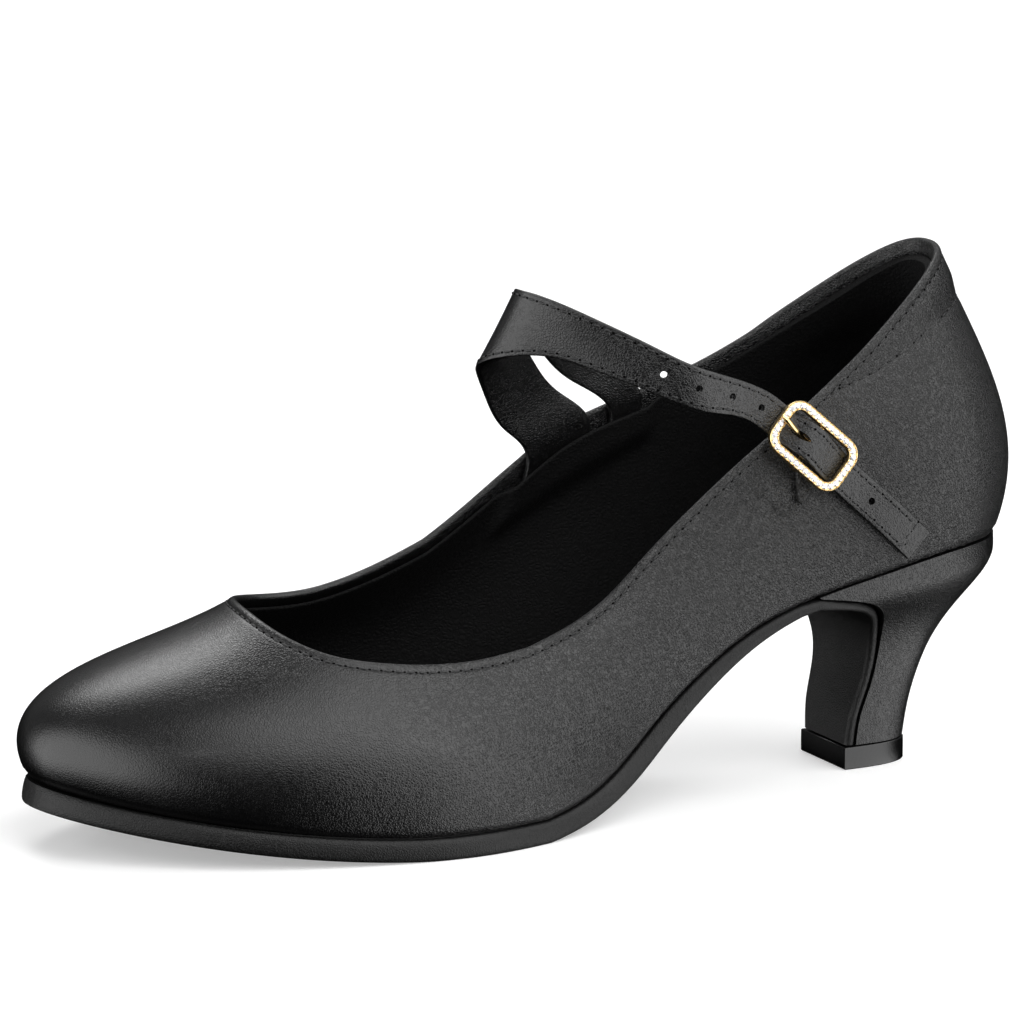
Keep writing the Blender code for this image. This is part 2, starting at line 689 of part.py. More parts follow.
def buckle_matrix():
    """From the buckle's own axes to the world."""
    point, tail, side, out = buckle_place()
    return Matrix.Translation(Vector(point)) @ Matrix((tail, side, out)).transposed().to_4x4()


def make_buckle():
    """The ring with two lugs that carry its bar under the strap's loop."""
    metal = finish("gold plate", (0.83, 0.62, 0.28), 0.2, 1.0)
    curve = bpy.data.curves.new("ring", "CURVE")
    curve.dimensions = "2D"
    curve.fill_mode = "BOTH"
    curve.extrude = BUCKLE_THICKNESS / 2
    half_long, half_wide = BUCKLE_LENGTH / 2, BUCKLE_WIDTH / 2
    rounded_loop(curve, half_long, half_wide, BUCKLE_CORNER)
    rounded_loop(curve, half_long - BUCKLE_BAND, half_wide - BUCKLE_BAND, BUCKLE_CORNER - BUCKLE_BAND)
    ring = curve_to_mesh("buckle_frame", curve, metal)
    ring.data.transform(Matrix.Translation((0, 0, BUCKLE_LEVEL + BUCKLE_THICKNESS / 2)))
    bpy.ops.mesh.primitive_cylinder_add(vertices=16, radius=BAR_RADIUS, depth=BUCKLE_WIDTH - BUCKLE_BAND)
    bar = bpy.context.object
    bar.name = "bar"
    bar.data.transform(Matrix.Translation((0, 0, BAR_LEVEL)) @ Matrix.Rotation(math.pi / 2, 4, "X"))
    joined = [bar]
    lug_foot = BAR_LEVEL - BAR_RADIUS - GAP
    lug_top = BUCKLE_LEVEL + BUCKLE_THICKNESS / 2
    for side in (-1, 1):
        bpy.ops.mesh.primitive_cube_add(size=1)
        lug = bpy.context.object
        lug.name = "lug"
        middle = (0, side * (half_wide - BUCKLE_BAND / 2 + GAP / 4), (lug_foot + lug_top) / 2)
        size = Matrix.Diagonal((4 * BAR_RADIUS, BUCKLE_BAND * 0.7, lug_top - lug_foot, 1))
        lug.data.transform(Matrix.Translation(middle) @ size)
        joined.append(lug)
    for piece in joined:
        piece.data.transform(buckle_matrix())
        keep_as_cutter(piece)
        join = ring.modifiers.new(piece.name, "BOOLEAN")
        join.operation = "UNION"
        join.solver = "EXACT"
        join.object = piece
    ring.data.transform(buckle_matrix())
    return ring


def make_prong():
    """The wire pin: an eye round the bar, then up through the strap's hole and over the ring's fore side."""
    eye = BAR_RADIUS + PIN_PLAY + PIN_RADIUS
    route = []
    for angle in np.radians(np.linspace(195, 450, 16)):
        route.append((eye * math.cos(angle), 0, BAR_LEVEL + eye * math.sin(angle)))
    over_ring = BUCKLE_LEVEL + BUCKLE_THICKNESS + GAP + PIN_RADIUS
    reach = BUCKLE_LENGTH / 2
    rise = over_ring - BAR_LEVEL - eye
    climb = ((0.14, 0.00), (0.26, 0.04), (0.38, 0.20), (0.50, 0.45), (0.64, 0.75), (0.78, 0.96), (1.0, 1.0))
    for share, lift in climb:
        route.append((-reach * share, 0, BAR_LEVEL + eye + rise * lift))
    curve = bpy.data.curves.new("pin", "CURVE")
    curve.dimensions = "3D"
    curve.bevel_depth = PIN_RADIUS
    curve.bevel_resolution = 2
    curve.use_fill_caps = True
    wire = curve.splines.new("POLY")
    wire.points.add(len(route) - 1)
    for spot, point in zip(wire.points, route):
        spot.co = (*point, 1)
    prong = curve_to_mesh("prong", curve, finish("gold wire", (0.85, 0.65, 0.30), 0.18, 1.0))
    prong.data.transform(buckle_matrix())
    prong.data.shade_smooth()
    prong.data.set_sharp_from_angle(angle=math.radians(50))
    face_outwards(prong)
    return prong


def make_keeper():
    """The tab that comes from under the ring's lower side and is sewn to the quarter."""
    start = STRAP_NARROW / 2 + GAP
    end = BUCKLE_WIDTH / 2 + TAB_SHOWS
    outline = ((0.02, start), (0.36, start), (0.34, end), (0.27, end))
    points = []
    for lift in (GAP, GAP + TAB_LEATHER):
        for share, across in outline:
            points.append((share * BUCKLE_LENGTH, -across, lift))
    faces = [(3, 2, 1, 0), (4, 5, 6, 7)]
    for corner in range(4):
        after = (corner + 1) % 4
        faces.append((corner, after, 4 + after, 4 + corner))
    tab = shell("keeper", points, faces, finish("tab leather", (0.012, 0.012, 0.012), 0.5))
    tab.data.transform(buckle_matrix())
    face_outwards(tab)
    return tab


for leftover in list(bpy.data.objects):
    bpy.data.objects.remove(leftover)
shoe = bpy.data.collections.new("dance_shoe")
cutters = bpy.data.collections.new("cutters")
for collection in (shoe, cutters):
    bpy.context.scene.collection.children.link(collection)

make_upper()
make_outsole()
make_insole()
make_heel()
make_top_lift()
make_strap()
make_buckle()
make_prong()
make_keeper()
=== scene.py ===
import math

import bmesh
import bpy
import numpy as np
from mathutils import Matrix, Vector


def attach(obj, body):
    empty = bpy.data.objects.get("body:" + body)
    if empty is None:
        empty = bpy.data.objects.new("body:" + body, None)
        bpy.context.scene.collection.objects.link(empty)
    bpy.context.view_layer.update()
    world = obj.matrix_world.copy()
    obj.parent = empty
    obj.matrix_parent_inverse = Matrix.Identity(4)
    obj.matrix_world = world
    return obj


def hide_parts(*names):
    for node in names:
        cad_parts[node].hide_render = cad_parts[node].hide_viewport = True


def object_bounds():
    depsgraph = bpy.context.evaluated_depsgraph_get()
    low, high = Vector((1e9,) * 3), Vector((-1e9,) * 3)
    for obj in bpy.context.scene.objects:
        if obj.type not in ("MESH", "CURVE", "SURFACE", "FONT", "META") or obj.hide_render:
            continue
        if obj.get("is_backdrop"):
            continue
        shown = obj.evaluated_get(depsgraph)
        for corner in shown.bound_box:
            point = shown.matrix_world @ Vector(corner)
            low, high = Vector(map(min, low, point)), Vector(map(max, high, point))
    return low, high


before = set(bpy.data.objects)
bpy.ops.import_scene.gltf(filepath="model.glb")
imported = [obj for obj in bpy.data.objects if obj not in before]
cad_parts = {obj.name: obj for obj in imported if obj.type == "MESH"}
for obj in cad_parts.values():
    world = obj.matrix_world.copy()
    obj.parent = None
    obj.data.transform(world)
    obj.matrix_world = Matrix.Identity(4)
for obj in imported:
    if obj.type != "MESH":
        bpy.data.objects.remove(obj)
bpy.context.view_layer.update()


# The studio: a plain white floor that mirrors the shoe a little, and a soft dome of light that the camera
# sees as white. Its lit panels stand before the shoe, high behind it, past the toe and past the heel.
FLOOR_HALF = 3.0
FLOOR_WHITE = 0.93
FLOOR_GLOW = 0.34
DOME_REST = 0.12

# Each panel's strength, then the soft steps that bound it: axis of the direction, dark end and lit end
PANELS = (
    (2.9, (("Y", -0.05, -0.40), ("Z", 0.18, 0.50), ("X", -0.45, -0.10))),
    (1.8, (("Y", 0.20, 0.50), ("Z", 0.45, 0.72), ("X", -0.30, 0.02))),
    (2.6, (("X", -0.62, -0.82), ("Z", -0.60, -0.35))),
    (2.5, (("X", 0.10, 0.40), ("X", 0.98, 0.80), ("Y", 0.20, -0.15), ("Z", -0.98, -0.60))),
)


def soft_box(name, place_at, aim_at, size, watts):
    """A square area light at a place, turned to a point."""
    data = bpy.data.lights.new(name, "AREA")
    data.shape = "RECTANGLE"
    data.size, data.size_y = size
    data.energy = watts
    lamp = bpy.data.objects.new(name, data)
    bpy.context.scene.collection.objects.link(lamp)
    lamp.location = place_at
    lamp.rotation_euler = (Vector(aim_at) - Vector(place_at)).to_track_quat("-Z", "Y").to_euler()
    return lamp


floor_mesh = bpy.data.meshes.new("floor")
floor_mesh.from_pydata(
    [(-FLOOR_HALF, -FLOOR_HALF, 0), (FLOOR_HALF, -FLOOR_HALF, 0), (FLOOR_HALF, FLOOR_HALF, 0),
     (-FLOOR_HALF, FLOOR_HALF, 0)], [], [(0, 1, 2, 3)])
floor = bpy.data.objects.new("floor", floor_mesh)
bpy.context.scene.collection.objects.link(floor)
floor_paint = bpy.data.materials.new("white floor")
floor_paint.use_nodes = True
floor_surface = floor_paint.node_tree.nodes["Principled BSDF"]
floor_surface.inputs["Base Color"].default_value = (FLOOR_WHITE, FLOOR_WHITE, FLOOR_WHITE, 1)
floor_surface.inputs["Roughness"].default_value = 0.10
floor_surface.inputs["IOR"].default_value = 1.25
floor_surface.inputs["Emission Color"].default_value = (1, 1, 1, 1)
floor_surface.inputs["Emission Strength"].default_value = FLOOR_GLOW
floor_mesh.materials.append(floor_paint)
floor.visible_glossy = False
floor.visible_diffuse = False
floor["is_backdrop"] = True

room = bpy.data.worlds.new("room")
bpy.context.scene.world = room
room.use_nodes = True
room_nodes, room_links = room.node_tree.nodes, room.node_tree.links
room_nodes.clear()
heading = room_nodes.new("ShaderNodeTexCoord")
axes = room_nodes.new("ShaderNodeSeparateXYZ")
room_links.new(heading.outputs["Generated"], axes.inputs[0])


def ramp(axis, start, end):
    """A soft step from 0 to 1 along one axis of the direction looked in."""
    step = room_nodes.new("ShaderNodeMapRange")
    step.interpolation_type = "SMOOTHSTEP"
    step.inputs["From Min"].default_value = start
    step.inputs["From Max"].default_value = end
    room_links.new(axes.outputs[axis], step.inputs["Value"])
    return step.outputs["Result"]


def combine(operation, first, second):
    """One math node on two sockets, or on a socket and a number."""
    node = room_nodes.new("ShaderNodeMath")
    node.operation = operation
    for index, value in enumerate((first, second)):
        if isinstance(value, float):
            node.inputs[index].default_value = value
        else:
            room_links.new(value, node.inputs[index])
    return node.outputs[0]


dome = combine("MULTIPLY", ramp("Z", -0.05, 0.25), DOME_REST)
for strength, steps in PANELS:
    panel = strength
    for axis, dark_end, lit_end in steps:
        panel = combine("MULTIPLY", ramp(axis, dark_end, lit_end), panel)
    dome = combine("MAXIMUM", dome, panel)
glow = room_nodes.new("ShaderNodeBackground")
room_links.new(dome, glow.inputs["Strength"])
glow.inputs["Color"].default_value = (1, 1, 1, 1)
seen = room_nodes.new("ShaderNodeLightPath")
white = room_nodes.new("ShaderNodeBackground")
white.inputs["Color"].default_value = (1, 1, 1, 1)
choice = room_nodes.new("ShaderNodeMixShader")
room_out = room_nodes.new("ShaderNodeOutputWorld")
room_links.new(seen.outputs["Is Camera Ray"], choice.inputs[0])
room_links.new(glow.outputs[0], choice.inputs[1])
room_links.new(white.outputs[0], choice.inputs[2])
room_links.new(choice.outputs[0], room_out.inputs["Surface"])

soft_box("box above", (0.05, 1.00, 1.25), (0.0, 0, 0.05), (0.7, 0.5), 5)
soft_box("spark left", (-0.9, -1.3, 0.95), (0.08, 0, 0.08), (0.16, 0.16), 0.9)
soft_box("spark right", (0.5, -1.2, 0.75), (0.08, 0, 0.08), (0.12, 0.12), 0.6)

# The camera of the photograph: a long lens from the toe's outer side, a little above the shoe.
CAMERA_AT = Vector((-0.57901, -1.23438, 0.35396))
CAMERA_AIM = Vector((0.06532, 0.08448, 0.0450))
camera_data = bpy.data.cameras.new("camera")
camera_data.lens = 224.95
camera_data.sensor_width = 36
camera_data.clip_start = 0.05
camera_data.clip_end = 50
camera = bpy.data.objects.new("camera", camera_data)
bpy.context.scene.collection.objects.link(camera)
camera.location = CAMERA_AT
camera.rotation_euler = (CAMERA_AIM - CAMERA_AT).to_track_quat("-Z", "Y").to_euler()
bpy.context.scene.camera = camera
bpy.context.scene.view_settings.view_transform = "Standard"


# The upper: one skin of smooth black calf, lasted over the foot and folded in along the topline. It is
# drawn as sections round the foot, each a curve from the sole to the rim, in the solids' own sizes.
# The collar behind the buckle is padded and sewn down along a seam that runs out into the rim.
LENGTH = 0.235
BALL_WIDTH = 0.080
HEEL_WIDTH = 0.054
HEEL_HEIGHT = 0.0523
TOE_SPRING = 0.0115
TOPLINE_HEIGHT = 0.0672
TREAD_ALONG = 0.142
UPPER_WALL = 0.0018
COLLAR_PAD = 0.0009
FOREPART_SOLE = 0.0050
GAP = 0.0003

# Along as a share of LENGTH, and climb as a share of the bed's whole rise to the heel seat
BED_ROWS = (
    (0.000, 1.000),
    (0.090, 0.982),
    (0.170, 0.912),
    (0.255, 0.806),
    (0.310, 0.694),
    (0.365, 0.522),
    (0.410, 0.347),
    (0.455, 0.163),
    (0.500, 0.050),
    (0.545, 0.000),
)
TOE_RISE_START = 0.655
TOE_RISE_POWER = 1.6

# Along, across, rim along, rim across, rise, flare, belly, lean, draw, as in the solids
SECTION_ROWS = (
    (0.0000, 0.000, 0.0620, 0.000, 0.980, 21, 0.40, 25, 0.42),
    (0.0170, -0.175, 0.0730, -0.110, 0.960, 21, 0.39, 23, 0.40),
    (0.0680, -0.293, 0.1180, -0.205, 0.870, 22, 0.40, 19, 0.38),
    (0.1530, -0.335, 0.1900, -0.258, 0.725, 16, 0.36, 14, 0.36),
    (0.2500, -0.330, 0.2620, -0.285, 0.620, 12, 0.34, 12, 0.34),
    (0.3500, -0.340, 0.3450, -0.292, 0.560, 12, 0.34, 14, 0.34),
    (0.4400, -0.385, 0.4300, -0.315, 0.560, 14, 0.34, 22, 0.34),
    (0.5250, -0.470, 0.5150, -0.355, 0.560, 18, 0.36, 32, 0.36),
    (0.6150, -0.530, 0.6000, -0.385, 0.530, 22, 0.38, 40, 0.36),
    (0.7100, -0.505, 0.6780, -0.375, 0.540, 23, 0.39, 45, 0.35),
    (0.8050, -0.430, 0.7350, -0.320, 0.560, 25, 0.41, 50, 0.34),
    (0.8950, -0.300, 0.7680, -0.205, 0.600, 27, 0.42, 55, 0.34),
    (0.9600, -0.125, 0.7780, -0.070, 0.635, 28, 0.42, 58, 0.34),
    (0.9800, 0.050, 0.7740, 0.060, 0.645, 28, 0.42, 58, 0.34),
    (0.9550, 0.225, 0.7560, 0.180, 0.635, 27, 0.42, 55, 0.34),
    (0.8900, 0.350, 0.7180, 0.265, 0.620, 25, 0.42, 50, 0.34),
    (0.8050, 0.425, 0.6600, 0.300, 0.625, 23, 0.41, 45, 0.35),
    (0.7150, 0.455, 0.5980, 0.310, 0.675, 22, 0.40, 40, 0.36),
    (0.6250, 0.435, 0.5350, 0.305, 0.765, 18, 0.38, 32, 0.36),
    (0.5350, 0.365, 0.4680, 0.300, 0.850, 14, 0.36, 22, 0.34),
    (0.4450, 0.300, 0.4000, 0.290, 0.820, 10, 0.34, 14, 0.34),
    (0.3500, 0.280, 0.3320, 0.280, 0.735, 10, 0.34, 12, 0.34),
    (0.2500, 0.305, 0.2620, 0.275, 0.705, 12, 0.34, 12, 0.34),
    (0.1530, 0.328, 0.1900, 0.245, 0.765, 16, 0.36, 14, 0.36),
    (0.0680, 0.290, 0.1180, 0.195, 0.870, 22, 0.40, 19, 0.38),
    (0.0170, 0.175, 0.0730, 0.105, 0.957, 21, 0.39, 23, 0.40),
)

# The collar seam: sections from the centre back, and distance below the rim
SEAM_ROWS = (
    (0.00, 0.0135),
    (0.50, 0.0129),
    (1.50, 0.0107),
    (2.05, 0.0094),
    (2.40, 0.0081),
    (2.70, 0.0066),
    (3.00, 0.0045),
    (3.25, 0.0026),
    (3.40, 0.0022),
)

# Soft creases: section, level, half length in sections, half width in levels, depth
CREASE_ROWS = (
    (4.30, 0.60, 0.16, 0.050, 0.00040),
    (4.52, 0.67, 0.20, 0.035, 0.00022),
    (7.90, 0.70, 0.50, 0.050, 0.00008),
    (17.20, 0.70, 0.60, 0.050, 0.00007),
)
SKIN_ROUND = 720
RIM_STITCH = 0.0022
PAD_FADE = 0.0060
SEAM_GROOVE = 0.00028
STITCH_CHANNEL = 0.00020
FOLD_SWELL = 0.00010
BACK_GROOVE = 0.00022
HAND_WAVE = 0.00003
RIM_RADIUS = UPPER_WALL / 2
LEATHER_BLACK = (0.0036, 0.0036, 0.0038)


def closed_spline(values, where):
    """Smooth closed curve through evenly numbered rows. Where counts in rows and wraps round."""
    values = np.asarray(values, float)
    count = len(values)
    system = 4 * np.eye(count) + np.roll(np.eye(count), 1, 0) + np.roll(np.eye(count), -1, 0)
    bends = np.linalg.solve(system, 6 * (np.roll(values, 1, 0) - 2 * values + np.roll(values, -1, 0)))
    where = np.mod(np.asarray(where, float), count)
    low = np.floor(where).astype(int) % count
    high = (low + 1) % count
    b = (where - np.floor(where))[..., None]
    a = 1 - b
    bend = ((a ** 3 - a) * bends[low] + (b ** 3 - b) * bends[high]) / 6
    return a * values[low] + b * values[high] + bend


def spline(knots, values, where):
    """Smooth open curve through a table's rows, straight at both ends."""
    knots = np.asarray(knots, float)
    values = np.asarray(values, float)
    steps = np.diff(knots)
    count = len(knots)
    system = np.eye(count)
    bends = np.zeros((count,) + values.shape[1:])
    for row in range(1, count - 1):
        system[row, row - 1] = steps[row - 1]
        system[row, row] = 2 * (steps[row - 1] + steps[row])
        system[row, row + 1] = steps[row]
        after = (values[row + 1] - values[row]) / steps[row]
        before = (values[row] - values[row - 1]) / steps[row - 1]
        bends[row] = 6 * (after - before)
    bends = np.linalg.solve(system, bends)
    where = np.clip(np.asarray(where, float), knots[0], knots[-1])
    low = np.clip(np.searchsorted(knots, where, side="right") - 1, 0, count - 2)
    width = steps[low]
    b = (where - knots[low]) / width
    a = 1 - b
    if values.ndim > 1:
        a, b, width = a[..., None], b[..., None], width[..., None]
    bend = ((a ** 3 - a) * bends[low] + (b ** 3 - b) * bends[low + 1]) * width ** 2 / 6
    return a * values[low] + b * values[low + 1] + bend


def smooth_step(value):
    """0 below 0, 1 above 1, and soft at both ends."""
    value = np.clip(value, 0, 1)
    return value * value * (3 - 2 * value)


def place(along, across, height):
    """Shoe measures to world coordinates."""
    return np.stack(np.broadcast_arrays(TREAD_ALONG - np.asarray(along), across, height), -1)


def bed_height(along):
    """Height of the surface that upper, insole and heel meet on."""
    along = np.asarray(along, float)
    table = np.array(BED_ROWS)
    climb = spline(table[:, 0] * LENGTH, table[:, 1], along)
    toe_start = TOE_RISE_START * LENGTH
    toe = np.clip((along - toe_start) / (LENGTH - toe_start), 0, None) ** TOE_RISE_POWER
    return FOREPART_SOLE + climb * (HEEL_HEIGHT - FOREPART_SOLE) + toe * TOE_SPRING


def unit(vectors):
    """Vectors cut or drawn out to length one."""
    return vectors / np.linalg.norm(vectors, axis=-1, keepdims=True)


def plan_outward(points, ahead, behind):
    """Level direction that points out of a closed outline, from two neighbours on it."""
    run = ahead - behind
    return unit(np.stack([-run[..., 1], run[..., 0], np.zeros_like(run[..., 0])], -1))


def feather_point(section):
    """Where the upper's outer face ends, a clearance above the bed."""
    table = np.array(SECTION_ROWS)
    row = closed_spline(table, section)
    along = row[..., 0] * LENGTH
    near = LENGTH / 200
    slope = (bed_height(along + near) - bed_height(along - near)) / (2 * near)
    return place(along, row[..., 1] * BALL_WIDTH, bed_height(along) + GAP * np.hypot(1, slope))


def rim_point(section):
    """The topline, on the upper's outer face."""
    table = np.array(SECTION_ROWS)
    row = closed_spline(table, section)
    along = row[..., 2] * LENGTH
    return place(along, row[..., 3] * BALL_WIDTH, bed_height(along) + row[..., 4] * TOPLINE_HEIGHT)


def upper_point(section, level):
    """A point of the upper's outer face. Section counts in table rows, level goes from bed 0 to rim 1."""
    section, level = np.broadcast_arrays(np.asarray(section, float), np.asarray(level, float))
    row = closed_spline(np.array(SECTION_ROWS), section)
    step = 0.05
    foot, rim = feather_point(section), rim_point(section)
    foot_out = plan_outward(foot, feather_point(section + step), feather_point(section - step))
    rim_out = plan_outward(rim, rim_point(section + step), rim_point(section - step))
    reach = np.linalg.norm(rim - foot, axis=-1, keepdims=True)
    flare = np.radians(row[..., 5:6])
    lean = np.radians(row[..., 7:8])
    upright = np.array([0.0, 0.0, 1.0])
    leaving = foot_out * np.sin(flare) + upright * np.cos(flare)
    arriving = -rim_out * np.sin(lean) + upright * np.cos(lean)
    first = foot + leaving * reach * row[..., 6:7]
    second = rim - arriving * reach * row[..., 8:9]
    t = level[..., None]
    s = 1 - t
    return s ** 3 * foot + 3 * s * s * t * first + 3 * s * t * t * second + t ** 3 * rim


def upper_frame(section, level):
    """A point of the upper's outer face with the direction that points out of it."""
    step = 0.02
    point = upper_point(section, level)
    round_way = upper_point(section + step, level) - upper_point(section - step, level)
    up_way = upper_point(section, level + step) - upper_point(section, level - step)
    return point, unit(np.cross(up_way, round_way))


def levels_below_rim(sections, distances, shares):
    """Levels at fixed distances below the rim, then at shares of what is left down to the bed."""
    fine = np.linspace(0, 1, 81)
    net = upper_point(sections[None, :], fine[:, None])
    pieces = np.linalg.norm(np.diff(net, axis=0), axis=-1)
    depth = np.concatenate([np.cumsum(pieces[::-1], axis=0)[::-1], np.zeros((1, len(sections)))])
    whole = depth[0]
    last = distances[-1]
    wanted = [np.full(len(sections), d) for d in distances]
    wanted += [last + (whole - last) * share for share in shares]
    wanted = np.array(wanted)
    levels = np.empty_like(wanted)
    for column in range(len(sections)):
        levels[:, column] = np.interp(-wanted[:, column], -depth[:, column], fine)
    return levels, wanted


def from_back(sections):
    """How many sections round from the centre back, either way."""
    count = len(SECTION_ROWS)
    return np.abs((np.asarray(sections) + count / 2) % count - count / 2)


def seam_depth(sections):
    """Distance of the collar seam below the rim."""
    table = np.array(SEAM_ROWS)
    return np.interp(from_back(sections), table[:, 0], table[:, 1])


def upper_relief(sections, levels, depth):
    """How far the leather stands out from the plain form: pad, seams, stitched channel and creases."""
    back = from_back(sections)
    seam = seam_depth(sections)
    ends = smooth_step((3.45 - back) / 0.5)
    inside = smooth_step((seam - depth) / PAD_FADE)
    relief = COLLAR_PAD * inside * ends
    relief = relief - SEAM_GROOVE * np.exp(-((depth - seam) / 0.0006) ** 2) * ends
    relief = relief - STITCH_CHANNEL * np.exp(-((depth - RIM_STITCH) / 0.0004) ** 2)
    relief = relief + FOLD_SWELL * np.exp(-((depth - RIM_STITCH * 0.5) / 0.0006) ** 2)
    relief = relief - BACK_GROOVE * np.exp(-(back / 0.028) ** 2) * smooth_step((1 - levels) / 0.03)
    for section, level, long, wide, deep in CREASE_ROWS:
        along = (sections - section) / long
        across = (levels - level - 0.05 * np.sin(along * 2)) / wide
        relief = relief - deep * np.exp(-along ** 2 - across ** 2)
        relief = relief + 0.5 * deep * np.exp(-along ** 2 - (across - 1.6) ** 2)
    wave = np.sin(sections * 5.1) * np.sin(levels * 9.0 + sections * 1.7)
    return relief + HAND_WAVE * wave * smooth_step((1 - levels) / 0.2)


def skin(name, rows, material, smooth_angle=60):
    """A closed mesh object from rows of points that run round, each joined to the next and last to first."""
    rows = np.asarray(rows)
    count, size = rows.shape[:2]
    mesh = bpy.data.meshes.new(name)
    index = np.arange(count * size).reshape(count, size)
    low, high = index, np.roll(index, -1, 0)
    quads = np.stack([low, np.roll(low, -1, 1), np.roll(high, -1, 1), high], -1).reshape(-1, 4)
    mesh.from_pydata(rows.reshape(-1, 3).tolist(), [], quads.tolist())
    return settle(name, mesh, material, smooth_angle)


def settle(name, mesh, material, smooth_angle=60):
    """Puts a mesh in the scene with its faces out, its doubles merged and its shading smooth."""
    edit = bmesh.new()
    edit.from_mesh(mesh)
    bmesh.ops.remove_doubles(edit, verts=edit.verts, dist=1e-7)
    bmesh.ops.recalc_face_normals(edit, faces=edit.faces)
    edit.to_mesh(mesh)
    edit.free()
    mesh.materials.clear()
    mesh.materials.append(material)
    mesh.shade_smooth()
    mesh.set_sharp_from_angle(angle=math.radians(smooth_angle))
    piece = bpy.data.objects.new(name, mesh)
    bpy.context.scene.collection.objects.link(piece)
    return piece


def leather(name, colour, roughness, grain, depth, toe_fade=False, coat=0.0, shine=0.5):
    """Black leather: pebbled cells under a finer wrinkle, with patchy gloss, painted shade in the grooves
    between the cells and painted light on their tops. Grain is a cell's size.
    """
    material = bpy.data.materials.new(name)
    material.use_nodes = True
    nodes, links = material.node_tree.nodes, material.node_tree.links
    surface = nodes["Principled BSDF"]
    surface.inputs["Coat Weight"].default_value = coat
    surface.inputs["Coat Roughness"].default_value = 0.22
    surface.inputs["Specular IOR Level"].default_value = shine
    where = nodes.new("ShaderNodeTexCoord")
    warp = nodes.new("ShaderNodeTexNoise")
    warp.inputs["Scale"].default_value = 0.35 / grain
    warp.inputs["Detail"].default_value = 3
    links.new(where.outputs["Object"], warp.inputs["Vector"])
    bent = nodes.new("ShaderNodeVectorMath")
    bent.operation = "MULTIPLY_ADD"
    bent.inputs[1].default_value = (grain * 2.2, grain * 2.2, grain * 1.2)
    links.new(warp.outputs["Color"], bent.inputs[0])
    links.new(where.outputs["Object"], bent.inputs[2])
    cells = nodes.new("ShaderNodeTexVoronoi")
    cells.feature = "DISTANCE_TO_EDGE"
    cells.inputs["Scale"].default_value = 1 / grain
    links.new(bent.outputs[0], cells.inputs["Vector"])
    pebble = nodes.new("ShaderNodeMapRange")
    pebble.inputs["From Max"].default_value = 0.30
    pebble.interpolation_type = "SMOOTHSTEP"
    links.new(cells.outputs["Distance"], pebble.inputs["Value"])
    fine = nodes.new("ShaderNodeTexNoise")
    fine.inputs["Scale"].default_value = 1.6 / grain
    fine.inputs["Detail"].default_value = 4
    links.new(where.outputs["Object"], fine.inputs["Vector"])
    height = nodes.new("ShaderNodeMath")
    height.operation = "MULTIPLY_ADD"
    height.inputs[1].default_value = 0.55
    links.new(fine.outputs["Fac"], height.inputs[0])
    links.new(pebble.outputs["Result"], height.inputs[2])
    bump = nodes.new("ShaderNodeBump")
    bump.inputs["Distance"].default_value = depth
    bump.inputs["Strength"].default_value = 1.0
    links.new(height.outputs[0], bump.inputs["Height"])
    if toe_fade:
        split = nodes.new("ShaderNodeSeparateXYZ")
        links.new(where.outputs["Object"], split.inputs[0])
        fade = nodes.new("ShaderNodeMapRange")
        fade.interpolation_type = "SMOOTHSTEP"
        fade.inputs["From Min"].default_value = -0.075
        fade.inputs["From Max"].default_value = 0.060
        fade.inputs["To Min"].default_value = 0.18
        links.new(split.outputs["X"], fade.inputs["Value"])
        links.new(fade.outputs["Result"], bump.inputs["Strength"])
    links.new(bump.outputs["Normal"], surface.inputs["Normal"])
    patches = nodes.new("ShaderNodeTexNoise")
    patches.inputs["Scale"].default_value = 55
    patches.inputs["Detail"].default_value = 5
    links.new(where.outputs["Object"], patches.inputs["Vector"])
    gloss = nodes.new("ShaderNodeMapRange")
    gloss.inputs["From Min"].default_value = 0.3
    gloss.inputs["From Max"].default_value = 0.7
    gloss.inputs["To Min"].default_value = roughness - 0.035
    gloss.inputs["To Max"].default_value = roughness + 0.045
    links.new(patches.outputs["Fac"], gloss.inputs["Value"])
    links.new(gloss.outputs["Result"], surface.inputs["Roughness"])
    # Painted shade and light: the colour drops to 0.75 of the leather's in the grooves between the cells and
    # rises to 1.15 on their raised tops, by the same pebble mask that drives the bump.
    groove_shade_paint = nodes.new("ShaderNodeMix")
    groove_shade_paint.data_type = "RGBA"
    groove_shade_paint.inputs["A"].default_value = (*[0.75 * part for part in colour], 1)
    groove_shade_paint.inputs["B"].default_value = (*[1.15 * part for part in colour], 1)
    links.new(pebble.outputs["Result"], groove_shade_paint.inputs["Factor"])
    links.new(groove_shade_paint.outputs["Result"], surface.inputs["Base Color"])
    return material


upper_leather = leather("upper calf", LEATHER_BLACK, 0.31, 0.00060, 0.00015, toe_fade=True, coat=0.12)
skin_sections = np.arange(SKIN_ROUND) * len(SECTION_ROWS) / SKIN_ROUND
near_rim = RIM_RADIUS + np.array([0, 0.2, 0.5, 0.8, 1.05, 1.3, 1.55, 1.8, 2.2, 2.8, 3.5, 4.4]) / 1000
skin_levels, skin_depth = levels_below_rim(skin_sections, near_rim, np.linspace(0, 1, 56)[1:])
skin_net = np.broadcast_to(skin_sections, skin_levels.shape)
outer_skin, outer_out = upper_frame(skin_net, skin_levels)
tuck = 0.0005 * smooth_step(1 - skin_levels / 0.035)
outer_skin = outer_skin + outer_out * (upper_relief(skin_net, skin_levels, skin_depth) - tuck)[..., None]
roll_centre, roll_out = upper_frame(skin_net[0], skin_levels[0])
roll_up = unit(np.cross(roll_out, np.roll(roll_centre, -1, 0) - np.roll(roll_centre, 1, 0)))
roll_up = roll_up * np.sign(roll_up[:, 2:3])
roll_middle = outer_skin[0] - roll_out * RIM_RADIUS
rim_roll = []
